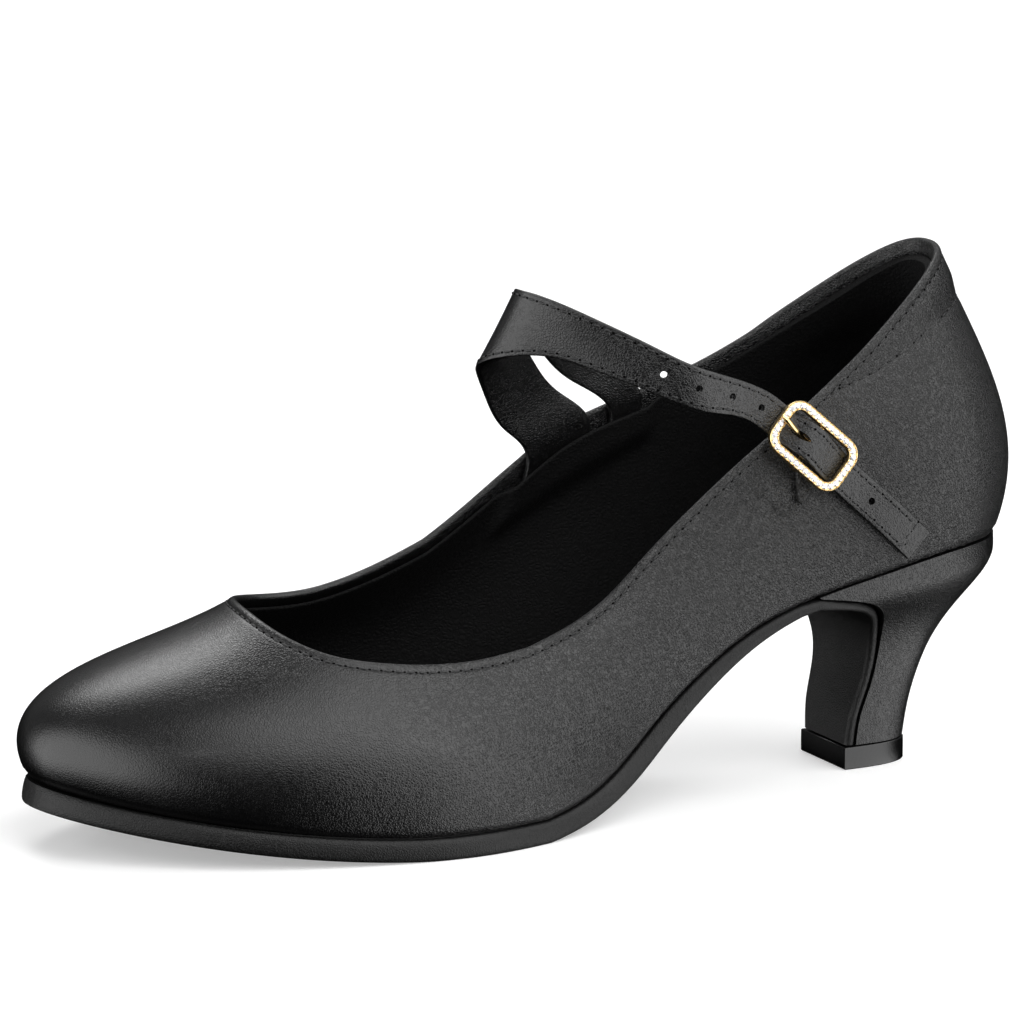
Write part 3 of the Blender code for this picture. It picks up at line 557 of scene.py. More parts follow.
for angle in np.radians(np.linspace(18, 162, 9)):
    rim_roll.append(roll_middle + RIM_RADIUS * (roll_out * math.cos(angle) + roll_up * math.sin(angle)))
inner_levels, _ = levels_below_rim(
    skin_sections, np.array([RIM_RADIUS, 0.0018, 0.0028]), np.linspace(0, 1, 18)[1:])
inner_skin, inner_out = upper_frame(np.broadcast_to(skin_sections, inner_levels.shape), inner_levels)
inner_skin = inner_skin - inner_out * UPPER_WALL
inner_skin[0] = outer_skin[0] - roll_out * 2 * RIM_RADIUS
upper = skin("upper", np.concatenate([outer_skin[::-1], rim_roll, inner_skin]), upper_leather)
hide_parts("upper")
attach(upper, "root")


# The lining: thin black leather glued inside, cut a little below the folded rim, thicker where it
# covers the sewn-in ends of the forked strap on the inner side and over the padded collar.
LINING_STARTS = 0.0030
LINING_THICK = 0.0006
LINING_OFF = UPPER_WALL + 0.00025
STRAP_LEATHER = 0.0016
FORK_FRONT = 19.35
FORK_REAR = 21.10


def lining_face(levels, extra):
    """The lining's face at an extra distance in from its outer side."""
    sections = np.broadcast_to(skin_sections, levels.shape)
    point, out = upper_frame(sections, levels)
    over_fork = smooth_step((sections - FORK_FRONT + 0.45) / 0.3)
    over_fork = over_fork * smooth_step((FORK_REAR + 0.35 - sections) / 0.3)
    over_fork = over_fork * smooth_step((levels - 0.72) / 0.12)
    pad = 0.0012 * smooth_step((3.2 - from_back(sections)) / 1.2) * smooth_step((levels - 0.70) / 0.15)
    step_in = LINING_OFF + over_fork * (STRAP_LEATHER + 2 * GAP) + extra * (pad + LINING_THICK)
    return point - out * step_in[..., None]


lining_levels, _ = levels_below_rim(
    skin_sections, LINING_STARTS + np.array([0, 0.0003, 0.0008, 0.0018]), np.linspace(0, 1, 30)[1:])
lining_leather = leather("lining leather", (0.0026, 0.0026, 0.0027), 0.70, 0.0009, 0.00010, shine=0.15)
lining_out = lining_face(lining_levels, 0.0)
lining_in = lining_face(lining_levels, 1.0)
lining_in[0] = lining_in[0] * 0.5 + lining_out[0] * 0.5
lining = skin("lining", np.concatenate([lining_out[::-1], lining_in]), lining_leather)
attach(lining, "root")


# The outsole: one strip of dense black leather, 5 mm under the forepart and skived thin through the
# waist, carried on as a flap down the breast of the heel. Its edge is inked matte.
WAIST_SOLE = 0.0023
SOLE_REVEAL = 0.0004
WAIST_START = 0.45
WAIST_FADE = 0.25
LIFT_HEIGHT = 0.0052
SOLE_RING = 20

# Front, front height, back, back height, width, seat, as in the solids
HEEL_ROWS = (
    (0.1555, 0.000, 0.0890, 0.000, 0.370, 0.00),
    (0.1530, 0.140, 0.0850, 0.145, 0.400, 0.00),
    (0.1460, 0.274, 0.0785, 0.285, 0.435, 0.00),
    (0.1410, 0.419, 0.0665, 0.441, 0.480, 0.00),
    (0.1430, 0.559, 0.0490, 0.598, 0.565, 0.05),
    (0.1520, 0.681, 0.0280, 0.749, 0.700, 0.22),
    (0.1730, 0.765, 0.0090, 0.877, 0.850, 0.55),
    (0.2030, 0.806, 0.0000, 0.950, 0.950, 0.85),
    (0.2350, 0.828, 0.0000, 0.9955, 1.000, 1.00),
)
HEEL_SQUARENESS = 2.7


def outline_across(side, along, inset=0.0):
    """How far across the feather line lies at a place along, on side -1 or 1, moved in by inset."""
    half = len(SECTION_ROWS) / 2
    sections = np.linspace(0, half, 400) if side < 0 else np.linspace(2 * half, half, 400)
    step = 0.05
    point = feather_point(sections)
    out = plan_outward(point, feather_point(sections + step), feather_point(sections - step))
    line = point - out * inset
    line_along = TREAD_ALONG - line[:, 0]
    first, last = np.argmin(line_along), np.argmax(line_along)
    return np.interp(along, line_along[first:last + 1], line[first:last + 1, 1])


def outline_ends(inset=0.0):
    """The least and greatest place along the feather line, moved in by inset."""
    sections = np.linspace(0, len(SECTION_ROWS), 801)
    step = 0.05
    point = feather_point(sections)
    out = plan_outward(point, feather_point(sections + step), feather_point(sections - step))
    along = TREAD_ALONG - (point - out * inset)[:, 0]
    return along.min(), along.max()


def heel_row(step):
    """Heights, front, back and width of the heel at a step that counts in table rows."""
    table = np.array(HEEL_ROWS)
    tip = LIFT_HEIGHT + GAP
    block = HEEL_HEIGHT - tip
    sizes = np.array([LENGTH, block, LENGTH, block, HEEL_WIDTH / 2, 1.0])
    start = np.array([0, tip, 0, tip, 0, 0])
    return start + spline(np.arange(len(table)), table * sizes, step)


def below(path):
    """Direction square to a path from toe to heel, towards the ground."""
    run = np.gradient(path, axis=0)
    return unit(np.stack([-run[:, 1], run[:, 0]], -1))


def capped(name, rings, material, smooth_angle=50):
    """A closed object over rings of equal counts, with a flat cap at each end."""
    rings = np.asarray(rings)
    count, size = rings.shape[:2]
    index = np.arange(count * size).reshape(count, size)
    quads = np.stack([index[:-1], np.roll(index[:-1], -1, 1), np.roll(index[1:], -1, 1), index[1:]], -1)
    faces = quads.reshape(-1, 4).tolist() + [index[0, ::-1].tolist(), index[-1].tolist()]
    mesh = bpy.data.meshes.new(name)
    mesh.from_pydata(rings.reshape(-1, 3).tolist(), [], faces)
    return settle(name, mesh, material, smooth_angle)


def strip(name, path, down, thick, outer, inner, edge_radius, material, crown=0.0):
    """A strip across the shoe along a path, with rounded long edges and closed, rounded ends."""
    shares = (1 - np.cos(np.linspace(0, math.pi, SOLE_RING))) / 2
    turn = np.linspace(-math.pi / 2, math.pi / 2, 7)
    rings = []
    for (along, height), (d_along, d_height), t, low, high in zip(path, down, thick, outer, inner):
        radius = min(edge_radius, t * 0.49, (high - low) * 0.2)
        half = (high - low) / 2
        middle = (high + low) / 2
        upper_line = [(middle + (2 * s - 1) * (half - radius), -crown * (1 - (2 * s - 1) ** 2))
                      for s in shares]
        side_high = [(high - radius + radius * math.cos(a), t / 2 + (t / 2 - radius) * math.sin(a)
                      + radius * math.sin(a)) for a in turn[1:-1]]
        lower_line = [(middle - (2 * s - 1) * (half - radius), t) for s in shares]
        side_low = [(low + radius - radius * math.cos(a), t / 2 - (t / 2 - radius) * math.sin(a)
                     - radius * math.sin(a)) for a in turn[1:-1]]
        ring = upper_line + side_high + lower_line + side_low
        rings.append([place(along + d_along * depth, across, height + d_height * depth)
                      for across, depth in ring])
    return capped(name, rings, material)


breast = heel_row(np.linspace(len(HEEL_ROWS) - 1, 0, 60))
sole_toe = outline_ends(-SOLE_REVEAL)[1]
sole_along = sole_toe - (sole_toe - breast[0, 0] - 2 * WAIST_SOLE) * np.linspace(0.04, 1, 150) ** 2.2
sole_path = np.concatenate([np.stack([sole_along, bed_height(sole_along)], -1), breast[:, :2]])
sole_down = below(sole_path)
sole_path[len(sole_along):] += sole_down[len(sole_along):] * GAP
sole_waist = smooth_step((WAIST_START - sole_path[:, 0] / LENGTH) / WAIST_FADE)
sole_thick = FOREPART_SOLE + (WAIST_SOLE - FOREPART_SOLE) * sole_waist
flap_width = np.concatenate([np.full(len(sole_along), BALL_WIDTH), breast[:, 4]])
sole_outer = np.maximum(outline_across(-1, sole_path[:, 0], -SOLE_REVEAL), -flap_width)
sole_inner = np.minimum(outline_across(1, sole_path[:, 0], -SOLE_REVEAL), flap_width)
sole_leather = leather("sole edge", (0.0040, 0.0040, 0.0040), 0.50, 0.0006, 0.00004, shine=0.35)
outsole = strip("outsole", sole_path, sole_down, sole_thick, sole_outer, sole_inner, 0.0009, sole_leather)
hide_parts("outsole")
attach(outsole, "root")


# The sock: a thin black leather pad on the insole board, a little crowned, under the foot.
INSOLE_BOARD = 0.0016
sock_inset = UPPER_WALL * 1.3 + 2 * GAP
sock_first, sock_last = outline_ends(sock_inset)
sock_turn = np.linspace(math.radians(4), math.radians(176), 90)
sock_along = (sock_first + sock_last) / 2 + (sock_last - sock_first) / 2 * np.cos(sock_turn)
sock_path = np.stack([sock_along, bed_height(sock_along)], -1)
sock_path -= below(sock_path) * (GAP + INSOLE_BOARD)
sock_outer = outline_across(-1, sock_path[:, 0], sock_inset)
sock_inner = outline_across(1, sock_path[:, 0], sock_inset)
sock_thick = np.full(len(sock_along), INSOLE_BOARD)
sock_leather = leather("sock leather", (0.0028, 0.0028, 0.0029), 0.68, 0.0010, 0.00010, shine=0.15)
sock = strip(
    "sock", sock_path, below(sock_path), sock_thick, sock_outer, sock_inner, 0.0006, sock_leather, 0.0005)
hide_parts("insole")
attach(sock, "root")


# The heel: a hard block flared at the seat and waisted above the tip, covered in the upper's leather.
HEEL_STEPS = 90


def heel_outline(front, back, width, count):
    """A D: straight across the front, squared round the back. Gives places along and across."""
    turn = np.linspace(0, math.pi, count)
    power = 2 / HEEL_SQUARENESS
    along = front - (front - back) * np.abs(np.sin(turn)) ** power
    across = -width * np.sign(np.cos(turn)) * np.abs(np.cos(turn)) ** power
    run = np.concatenate([[0], np.cumsum(np.hypot(np.diff(along), np.diff(across)))])
    even = np.linspace(0, run[-1], count)
    return np.interp(even, run, along), np.interp(even, run, across)


heel_rings = []
heel_top = len(HEEL_ROWS) - 1
for step in np.linspace(0, heel_top, HEEL_STEPS):
    front, front_height, back, back_height, width, seat = heel_row(step)
    along, across = heel_outline(front, back, width, 81)
    seat_across = np.where(across < 0, outline_across(-1, along), outline_across(1, along))
    across = across + (seat_across - across) * np.clip(seat, 0, 1)
    share = (front - along) / (front - back)
    height = front_height + (back_height - front_height) * share
    if step == heel_top:
        height = bed_height(along)
    heel_rings.append(place(along, across, height))
heel_leather = leather("heel cover", LEATHER_BLACK, 0.33, 0.00060, 0.00006, coat=0.12)
heel = capped("heel", heel_rings, heel_leather)
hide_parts("heel")
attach(heel, "root")


# The top lift: the hard black tip that the heel stands on, moulded, with softened edges.
LIFT_LIP = 0.0004
lift_front, _, lift_back, _, lift_width, _ = heel_row(0)
lift_front += GAP + WAIST_SOLE
lift_rings = []
for angle in np.radians(np.linspace(-90, 90, 11)):
    out_by = LIFT_LIP * math.cos(angle)
    up_by = LIFT_HEIGHT / 2 + (LIFT_HEIGHT / 2 - LIFT_LIP) * np.sign(angle) + LIFT_LIP * math.sin(angle)
    along, across = heel_outline(lift_front + out_by, lift_back - out_by, lift_width + out_by, 61)
    lift_rings.append(place(along, across, up_by))
lift_plastic = leather("tip", (0.0040, 0.0040, 0.0042), 0.24, 0.0012, 0.00001)
top_lift = capped("top_lift", lift_rings, lift_plastic)
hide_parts("top_lift")
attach(top_lift, "root")


# The strap: two plies of the upper's leather turned in and sewn along both edges, forked at its inner
# end, with five spare holes, and passed under the buckle's ring, over its bar and out along the quarter.
STRAP_NARROW = 0.0080
PUNCH_RADIUS = 0.0008
BUCKLE_LENGTH = 0.0205
BUCKLE_LEVEL = 0.0034
BAR_RADIUS = 0.00055
BAR_LEVEL = 0.0022
PIN_RADIUS = 0.00050
FORK_LEVELS = (0.88, 0.94, 1.0)
FORK_MIDDLE = 0.64
FORK_TIP = 0.055
FORK_MOUTH = 0.10
BUCKLE_ALONG = 0.0582
BUCKLE_RISE = 0.390
ENTRY_SLOPE = 41
TAIL_SLOPE = 42
BUCKLE_SLOPE = 44
TAIL_LENGTH = 0.0350
HOLE_DISTANCES = (-0.0405, -0.0320, -0.0235, -0.0155, 0.0196)
PIN_PLAY = 0.00025
PIN_ENTERS_STRAP = 0.0026
PIN_LEAVES_STRAP = 0.0068
STRAP_EDGE = 0.00035

# Front along, across, rise, then rear along, across, rise, as in the solids
STRAP_ROWS = (
    (0.4700, 0.250, 0.400, 0.3700, 0.255, 0.600),
    (0.4950, 0.215, 0.520, 0.4150, 0.215, 0.735),
    (0.5120, 0.165, 0.610, 0.4520, 0.160, 0.850),
    (0.5210, 0.100, 0.663, 0.4830, 0.085, 0.905),
    (0.5120, 0.005, 0.700, 0.4950, -0.010, 0.922),
    (0.4830, -0.090, 0.713, 0.4800, -0.105, 0.900),
    (0.4450, -0.185, 0.672, 0.4430, -0.185, 0.838),
    (0.4050, -0.265, 0.610, 0.4030, -0.255, 0.764),
    (0.3600, -0.318, 0.545, 0.3620, -0.305, 0.690),
)


def quarter_spot(along, rise):
    """Section and level of the outer quarter's point at a place along the shoe and a height."""
    spot = np.array([4.0, 0.6])
    aim = np.array([TREAD_ALONG - along, rise])
    step = 1e-3
    for _ in range(12):
        here = upper_point(*spot)[[0, 2]]
        over = (upper_point(spot[0] + step, spot[1])[[0, 2]] - here) / step
        up = (upper_point(spot[0], spot[1] + step)[[0, 2]] - here) / step
        spot = spot + np.linalg.solve(np.stack([over, up], 1), aim - here)
    return spot


def tail_row(distance, lift):
    """Front and rear edge of the strap's upper face where it lies on the quarter."""
    slope = math.radians(TAIL_SLOPE if distance > 0 else ENTRY_SLOPE)
    run = np.array([math.cos(slope), 0, -math.sin(slope)])
    along = BUCKLE_ALONG - run[0] * distance
    rise = HEEL_HEIGHT + BUCKLE_RISE * TOPLINE_HEIGHT + run[2] * distance
    point, out = upper_frame(*quarter_spot(along, rise))
    centre = point + out * (lift + STRAP_LEATHER)
    side = unit(np.cross(out, run)) * STRAP_NARROW / 2
    return np.concatenate([centre - side, centre + side])


def fork_row(level):
    """Front and rear edge of the forked end, flat inside the inner quarter."""
    edges = []
    for section in (FORK_FRONT, FORK_REAR):
        point, out = upper_frame(section, level)
        edges.append(point - out * (UPPER_WALL + GAP))
    return np.concatenate(edges)


def strap_course():
    """Rows of front and rear edge points with their distance along the strap; the bar is at distance 0."""
    rows = [fork_row(level) for level in FORK_LEVELS]
    for front_along, front_across, front_rise, rear_along, rear_across, rear_rise in STRAP_ROWS:
        front_height = HEEL_HEIGHT + front_rise * TOPLINE_HEIGHT
        rear_height = HEEL_HEIGHT + rear_rise * TOPLINE_HEIGHT
        front = place(front_along * LENGTH, front_across * BALL_WIDTH, front_height)
        rear = place(rear_along * LENGTH, rear_across * BALL_WIDTH, rear_height)
        rows.append(np.concatenate([front, rear]))
    over_bar = BAR_LEVEL + BAR_RADIUS + PIN_PLAY + 2 * PIN_RADIUS + GAP
    under_band = BUCKLE_LEVEL - 1.5 * GAP - STRAP_LEATHER
    lifts = (
        (-0.62, under_band),
        (-0.42, under_band),
        (-0.24, (under_band + over_bar) / 2),
        (-0.11, over_bar),
        (0.02, over_bar),
        (0.20, (under_band + over_bar) / 2),
        (0.42, under_band),
        (0.80, GAP),
        (1.20, GAP),
    )
    bar_row = len(rows) + 4
    for share, lift in lifts:
        rows.append(tail_row(share * BUCKLE_LENGTH, lift))
    rows.append(tail_row(TAIL_LENGTH, GAP))
    rows = np.array(rows)
    middle = (rows[:, :3] + rows[:, 3:]) / 2
    distance = np.concatenate([[0], np.cumsum(np.linalg.norm(np.diff(middle, axis=0), axis=1))])
    return distance - distance[bar_row], rows


strap_knots, strap_rows = strap_course()
fork_end = strap_knots[len(FORK_LEVELS) + 1]
fork_end += 0.2 * (strap_knots[len(FORK_LEVELS) + 2] - strap_knots[len(FORK_LEVELS) + 1])


def strap_edges(distances):
    """Front and rear edge of the strap's upper face, and the way out of it, at distances along it."""
    edges = spline(strap_knots, strap_rows, distances)
    ahead = spline(strap_knots, strap_rows, np.asarray(distances) + 0.0004)
    behind = spline(strap_knots, strap_rows, np.asarray(distances) - 0.0004)
    front, rear = edges[..., :3], edges[..., 3:]
    run = (ahead[..., :3] + ahead[..., 3:]) - (behind[..., :3] + behind[..., 3:])
    out = unit(np.cross(run, rear - front))
    return front, rear, out


strap_stations = np.concatenate([
    np.linspace(strap_knots[0], fork_end, 50),
    np.linspace(fork_end, -BUCKLE_LENGTH * 0.6, 130)[1:],
    np.linspace(-BUCKLE_LENGTH * 0.6, strap_knots[-1], 90)[1:]])
strap_front, strap_rear, strap_out = strap_edges(strap_stations)
half_slot = FORK_TIP + (FORK_MOUTH - FORK_TIP) * np.clip(
    (fork_end - strap_stations) / (fork_end - strap_knots[0]), 0, 1)
leg_shares = [(FORK_MIDDLE - half_slot) * share for share in np.linspace(0, 1, 9)]
leg_shares += [FORK_MIDDLE + half_slot + (1 - FORK_MIDDLE - half_slot) * share
               for share in np.linspace(0, 1, 6)]
strap_shares = np.stack(leg_shares, -1)
strap_puff = 0.00012 * np.sin(np.clip(strap_shares, 0, 1) * math.pi) ** 0.5
strap_points = strap_front[:, None] + (strap_rear - strap_front)[:, None] * strap_shares[..., None]
strap_points = strap_points + strap_out[:, None] * strap_puff[..., None]
strap_mesh = bpy.data.meshes.new("strap")
strap_columns = strap_points.shape[1]
strap_faces = []
for station in range(len(strap_stations) - 1):
    for column in range(strap_columns - 1):
        if column == 8 and strap_stations[station + 1] <= fork_end + 1e-9:
            continue
        low, high = station * strap_columns + column, (station + 1) * strap_columns + column
        strap_faces.append((low, high, high + 1, low + 1))
strap_mesh.from_pydata(strap_points.reshape(-1, 3).tolist(), [], strap_faces)
strap_leather = leather("strap calf", LEATHER_BLACK, 0.30, 0.0006, 0.00005, coat=0.15)
strap_sheet = bpy.data.objects.new("strap_sheet", strap_mesh)
bpy.context.scene.collection.objects.link(strap_sheet)
ply = strap_sheet.modifiers.new("ply", "SOLIDIFY")
ply.thickness = STRAP_LEATHER
ply.offset = -1
ply.use_even_offset = True
turned_edge = strap_sheet.modifiers.new("turned edge", "BEVEL")
turned_edge.width = STRAP_EDGE
turned_edge.segments = 3
turned_edge.limit_method = "ANGLE"
turned_edge.angle_limit = math.radians(50)


def hole_tool(distance, radius, stretch):
    """A cylinder that stands square through the strap, stretched along it by a factor."""
    front, rear, out = strap_edges(distance)
    middle = (front + rear) / 2
    ahead_front, ahead_rear, _ = strap_edges(distance + 0.0005)
    run = unit((ahead_front + ahead_rear) / 2 - middle)
    edit = bmesh.new()
    bmesh.ops.create_cone(edit, cap_ends=True, segments=28, radius1=radius, radius2=radius,
                          depth=STRAP_LEATHER * 4)
    turn = Matrix((run * stretch, np.cross(out, run), out)).transposed().to_4x4()
    bmesh.ops.transform(edit, matrix=Matrix.Translation(Vector(middle - out * STRAP_LEATHER / 2)) @ turn,
                        verts=edit.verts)
    mesh = bpy.data.meshes.new("hole")
    edit.to_mesh(mesh)
    edit.free()
    tool = bpy.data.objects.new("hole", mesh)
    bpy.context.scene.collection.objects.link(tool)
    return tool


hole_tools = [hole_tool(distance, PUNCH_RADIUS, 1.0) for distance in HOLE_DISTANCES]
pin_middle = -(PIN_LEAVES_STRAP + PIN_ENTERS_STRAP) / 2
pin_half = (PIN_LEAVES_STRAP - PIN_ENTERS_STRAP) / 2 + PIN_RADIUS
hole_tools.append(hole_tool(pin_middle, PIN_RADIUS + GAP, pin_half / (PIN_RADIUS + GAP)))
for tool in hole_tools:
    punch = strap_sheet.modifiers.new("punch", "BOOLEAN")
    punch.operation = "DIFFERENCE"
    punch.solver = "EXACT"
    punch.object = tool


def made_plain(source):
    """The mesh that an object's modifiers give, on its own."""
    bpy.context.view_layer.update()
    graph = bpy.context.evaluated_depsgraph_get()
    return bpy.data.meshes.new_from_object(source.evaluated_get(graph))


strap = settle("strap", made_plain(strap_sheet), strap_leather, 45)
for tool in hole_tools + [strap_sheet]:
    bpy.data.objects.remove(tool)
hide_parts("strap")
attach(strap, "root")


# The stitches: black waxed thread in even lock stitches, a row below the folded rim, one along the
# collar seam on each side, and one inside each edge of the strap that turns across near its tail.
STITCH_PITCH = 0.0026
STITCH_LONG = 0.0018
THREAD_RADIUS = 0.00026
NEEDLE_RADIUS = 0.00034
STRAP_MARGIN = 0.0012
TAIL_MARGIN = 0.0042


def thread_mesh():
    """One stitch along X: a flattened thread whose ends dive into the leather."""
    rings = []
    for share in np.linspace(-1, 1, 9):
        thin = max(0.25, (1 - share ** 4) ** 0.5)
        lift = 0.00008 - 0.00034 * share ** 4
        rings.append([(share * STITCH_LONG / 2, math.cos(a) * THREAD_RADIUS * thin,
                       lift + math.sin(a) * THREAD_RADIUS * 0.8 * thin)
                      for a in np.linspace(0, 2 * math.pi, 7)[:-1]])
    return capped("stitch seed", rings, thread_painted_highlight, 80)


def needle_shade_mesh():
    """Painted shade for the needle's hole half a pitch on from its stitch: a black low dome that stands in
    for the shadow in a shallow pit.
    """
    rings = []
    for angle in np.linspace(-math.pi / 2, math.pi / 2, 6)[1:-1]:
        reach = NEEDLE_RADIUS * math.cos(angle)
        rings.append([(STITCH_PITCH / 2 + reach * math.cos(a), reach * 0.8 * math.sin(a),
                       0.00002 + NEEDLE_RADIUS * 0.25 * math.sin(angle))
                      for a in np.linspace(0, 2 * math.pi, 9)[:-1]])
    return capped("needle seed", rings, needle_hole_shade, 80)


# The thread's colour is lifted well above the leather's black: a painted highlight on the black thread, so
# the stitches read as a light dotted line.
thread_painted_highlight = leather("waxed thread with painted highlight", (0.0140, 0.0140, 0.0145), 0.38, 0.0002, 0.00002)
# Near-black and fully rough: painted shade in place of the shadow inside each hole the needle leaves.
needle_hole_shade = leather("needle-hole painted shade", (0.0006, 0.0006, 0.0006), 0.95, 0.0002, 0.00001, shine=0.05)
stitch_seed = thread_mesh()
needle_shade_seed = needle_shade_mesh()


def stitch_tree():
    """Geometry nodes that set a stitch at even steps along a line, upright on the leather."""
    tree = bpy.data.node_groups.new("lock stitches", "GeometryNodeTree")
    tree.interface.new_socket("Geometry", in_out="INPUT", socket_type="NodeSocketGeometry")
    tree.interface.new_socket("Pitch", in_out="INPUT", socket_type="NodeSocketFloat")
    tree.interface.new_socket("Stitch", in_out="INPUT", socket_type="NodeSocketObject")
    tree.interface.new_socket("Thread", in_out="INPUT", socket_type="NodeSocketMaterial")
    tree.interface.new_socket("Geometry", in_out="OUTPUT", socket_type="NodeSocketGeometry")
    nodes, links = tree.nodes, tree.links
    given = nodes.new("NodeGroupInput")
    result = nodes.new("NodeGroupOutput")
    line = nodes.new("GeometryNodeMeshToCurve")
    spots = nodes.new("GeometryNodeCurveToPoints")
    spots.mode = "LENGTH"
    upright = nodes.new("GeometryNodeInputNamedAttribute")
    upright.data_type = "FLOAT_VECTOR"
    upright.inputs["Name"].default_value = "out"
    seed = nodes.new("GeometryNodeObjectInfo")
    along = nodes.new("FunctionNodeAlignRotationToVector")
    along.axis = "X"
    stand = nodes.new("FunctionNodeAlignRotationToVector")
    stand.axis = "Z"
    stand.pivot_axis = "X"
    copies = nodes.new("GeometryNodeInstanceOnPoints")
    real = nodes.new("GeometryNodeRealizeInstances")
    dye = nodes.new("GeometryNodeSetMaterial")
    links.new(given.outputs["Geometry"], line.inputs["Mesh"])
    links.new(line.outputs["Curve"], spots.inputs["Curve"])
    links.new(given.outputs["Pitch"], spots.inputs["Length"])
    links.new(given.outputs["Stitch"], seed.inputs["Object"])
    links.new(spots.outputs["Points"], copies.inputs["Points"])
    links.new(seed.outputs["Geometry"], copies.inputs["Instance"])
    links.new(spots.outputs["Tangent"], along.inputs["Vector"])
    links.new(along.outputs["Rotation"], stand.inputs["Rotation"])
    links.new(upright.outputs["Attribute"], stand.inputs["Vector"])
    links.new(stand.outputs["Rotation"], copies.inputs["Rotation"])
    links.new(copies.outputs["Instances"], real.inputs["Geometry"])
    links.new(real.outputs["Geometry"], dye.inputs["Geometry"])
    links.new(given.outputs["Thread"], dye.inputs["Material"])
    links.new(dye.outputs["Geometry"], result.inputs["Geometry"])
    return tree


lock_stitches = stitch_tree()


def give_inputs(modifier, values):
    """Sets a node modifier's inputs by their names, through each socket's identifier."""
    for item in modifier.node_group.interface.items_tree:
        if item.in_out == "INPUT" and item.name in values:
            modifier[item.identifier] = values[item.name]


def sew(name, rows, seed=stitch_seed, finish=thread_painted_highlight):
    """One piece of copies of a seed along rows of (points, ways out, whether the row closes on itself)."""
    corners, outs, edges = [], [], []
    for points, ways, closed in rows:
        start = len(corners)
        corners += np.asarray(points).tolist()
        outs += np.asarray(ways).tolist()
        count = len(points)
        edges += [(start + i, start + i + 1) for i in range(count - 1)]
        if closed:
            edges.append((start + count - 1, start))
    mesh = bpy.data.meshes.new(name + " path")
    mesh.from_pydata(corners, edges, [])
    ways = mesh.attributes.new("out", "FLOAT_VECTOR", "POINT")
    ways.data.foreach_set("vector", np.array(outs).ravel())
    holder = bpy.data.objects.new(name + " path", mesh)
    bpy.context.scene.collection.objects.link(holder)
    needle = holder.modifiers.new("needle", "NODES")
    needle.node_group = lock_stitches
    give_inputs(needle, {"Pitch": STITCH_PITCH, "Stitch": seed, "Thread": finish})
    piece = bpy.data.objects.new(name, made_plain(holder))
    piece.data.shade_smooth()
    bpy.context.scene.collection.objects.link(piece)
    bpy.data.objects.remove(holder)
    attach(piece, "root")
    return piece


def on_upper(sections, depths):
    """Points on the upper's finished face at distances below the rim, with the way out there."""
    levels = np.empty(len(sections))
    for index, (section, depth) in enumerate(zip(sections, depths)):
        found, _ = levels_below_rim(np.array([section]), np.array([depth]), [])
        levels[index] = found[0, 0]
    point, out = upper_frame(sections, levels)
    return point + out * upper_relief(sections, levels, depths)[:, None], out


stitch_round = np.linspace(0, len(SECTION_ROWS), 360, endpoint=False)
rim_points, rim_outs = on_upper(stitch_round, np.full(len(stitch_round), RIM_STITCH))
seam_side = np.linspace(0.06, 3.3, 60)
seam_outer = on_upper(seam_side, seam_depth(seam_side))
seam_inner = on_upper(len(SECTION_ROWS) - seam_side, seam_depth(seam_side))
upper_seams = [(rim_points, rim_outs, True), (*seam_outer, False), (*seam_inner, False)]
sew("upper_stitches", upper_seams)
# Black domes of painted shade where the needle went through, half a pitch on from each stitch.
sew("upper_needle_holes", upper_seams, needle_shade_seed, needle_hole_shade)

strap_row_stations = np.linspace(strap_knots[0] + 0.004, strap_knots[-1] - TAIL_MARGIN, 160)
row_front, row_rear, row_out = strap_edges(strap_row_stations)
row_across = unit(row_rear - row_front)
strap_stitch_front = row_front + row_across * STRAP_MARGIN + row_out * 0.00003
strap_stitch_rear = row_rear - row_across * STRAP_MARGIN + row_out * 0.00003
strap_turn = np.linspace(0, 1, 12)[1:-1, None]
turn_points = strap_stitch_front[-1] * (1 - strap_turn) + strap_stitch_rear[-1] * strap_turn
strap_line = np.concatenate([strap_stitch_front, turn_points, strap_stitch_rear[::-1]])
strap_ways = np.concatenate([row_out, np.repeat(row_out[-1:], len(turn_points), 0), row_out[::-1]])
sew("strap_stitches", [(strap_line, strap_ways, False)])
# Black domes of painted shade where the needle went through the strap, half a pitch on from each stitch.
sew("strap_needle_holes", [(strap_line, strap_ways, False)], needle_shade_seed, needle_hole_shade)
bpy.data.objects.remove(stitch_seed)
bpy.data.objects.remove(needle_shade_seed)


# The buckle: a cast ring plated in a pale gold, its face a channel set all round with clear round
# stones in tiny beads, its bar carried on two lugs behind, under the strap.
BUCKLE_WIDTH = 0.0134
BUCKLE_BAND = 0.0021
BUCKLE_THICKNESS = 0.0018
BUCKLE_CORNER = 0.0042
STONES = 38
STONE_RADIUS = 0.00079
GOLD = (0.92, 0.69, 0.34)


def buckle_place():
    """The buckle's own axes: along the strap towards its tail, across it, and out of the quarter."""
    spot = quarter_spot(BUCKLE_ALONG, HEEL_HEIGHT + BUCKLE_RISE * TOPLINE_HEIGHT)
    point, out = upper_frame(*spot)
    slope = math.radians(BUCKLE_SLOPE)
    tail = np.array([math.cos(slope), 0, -math.sin(slope)])
    tail = unit(tail - out * (tail @ out))
    side = np.cross(out, tail)
    return point, tail, side, out


def buckle_matrix():
    """From the buckle's own axes to the world."""
    point, tail, side, out = buckle_place()
    return Matrix.Translation(Vector(point)) @ Matrix((tail, side, out)).transposed().to_4x4()


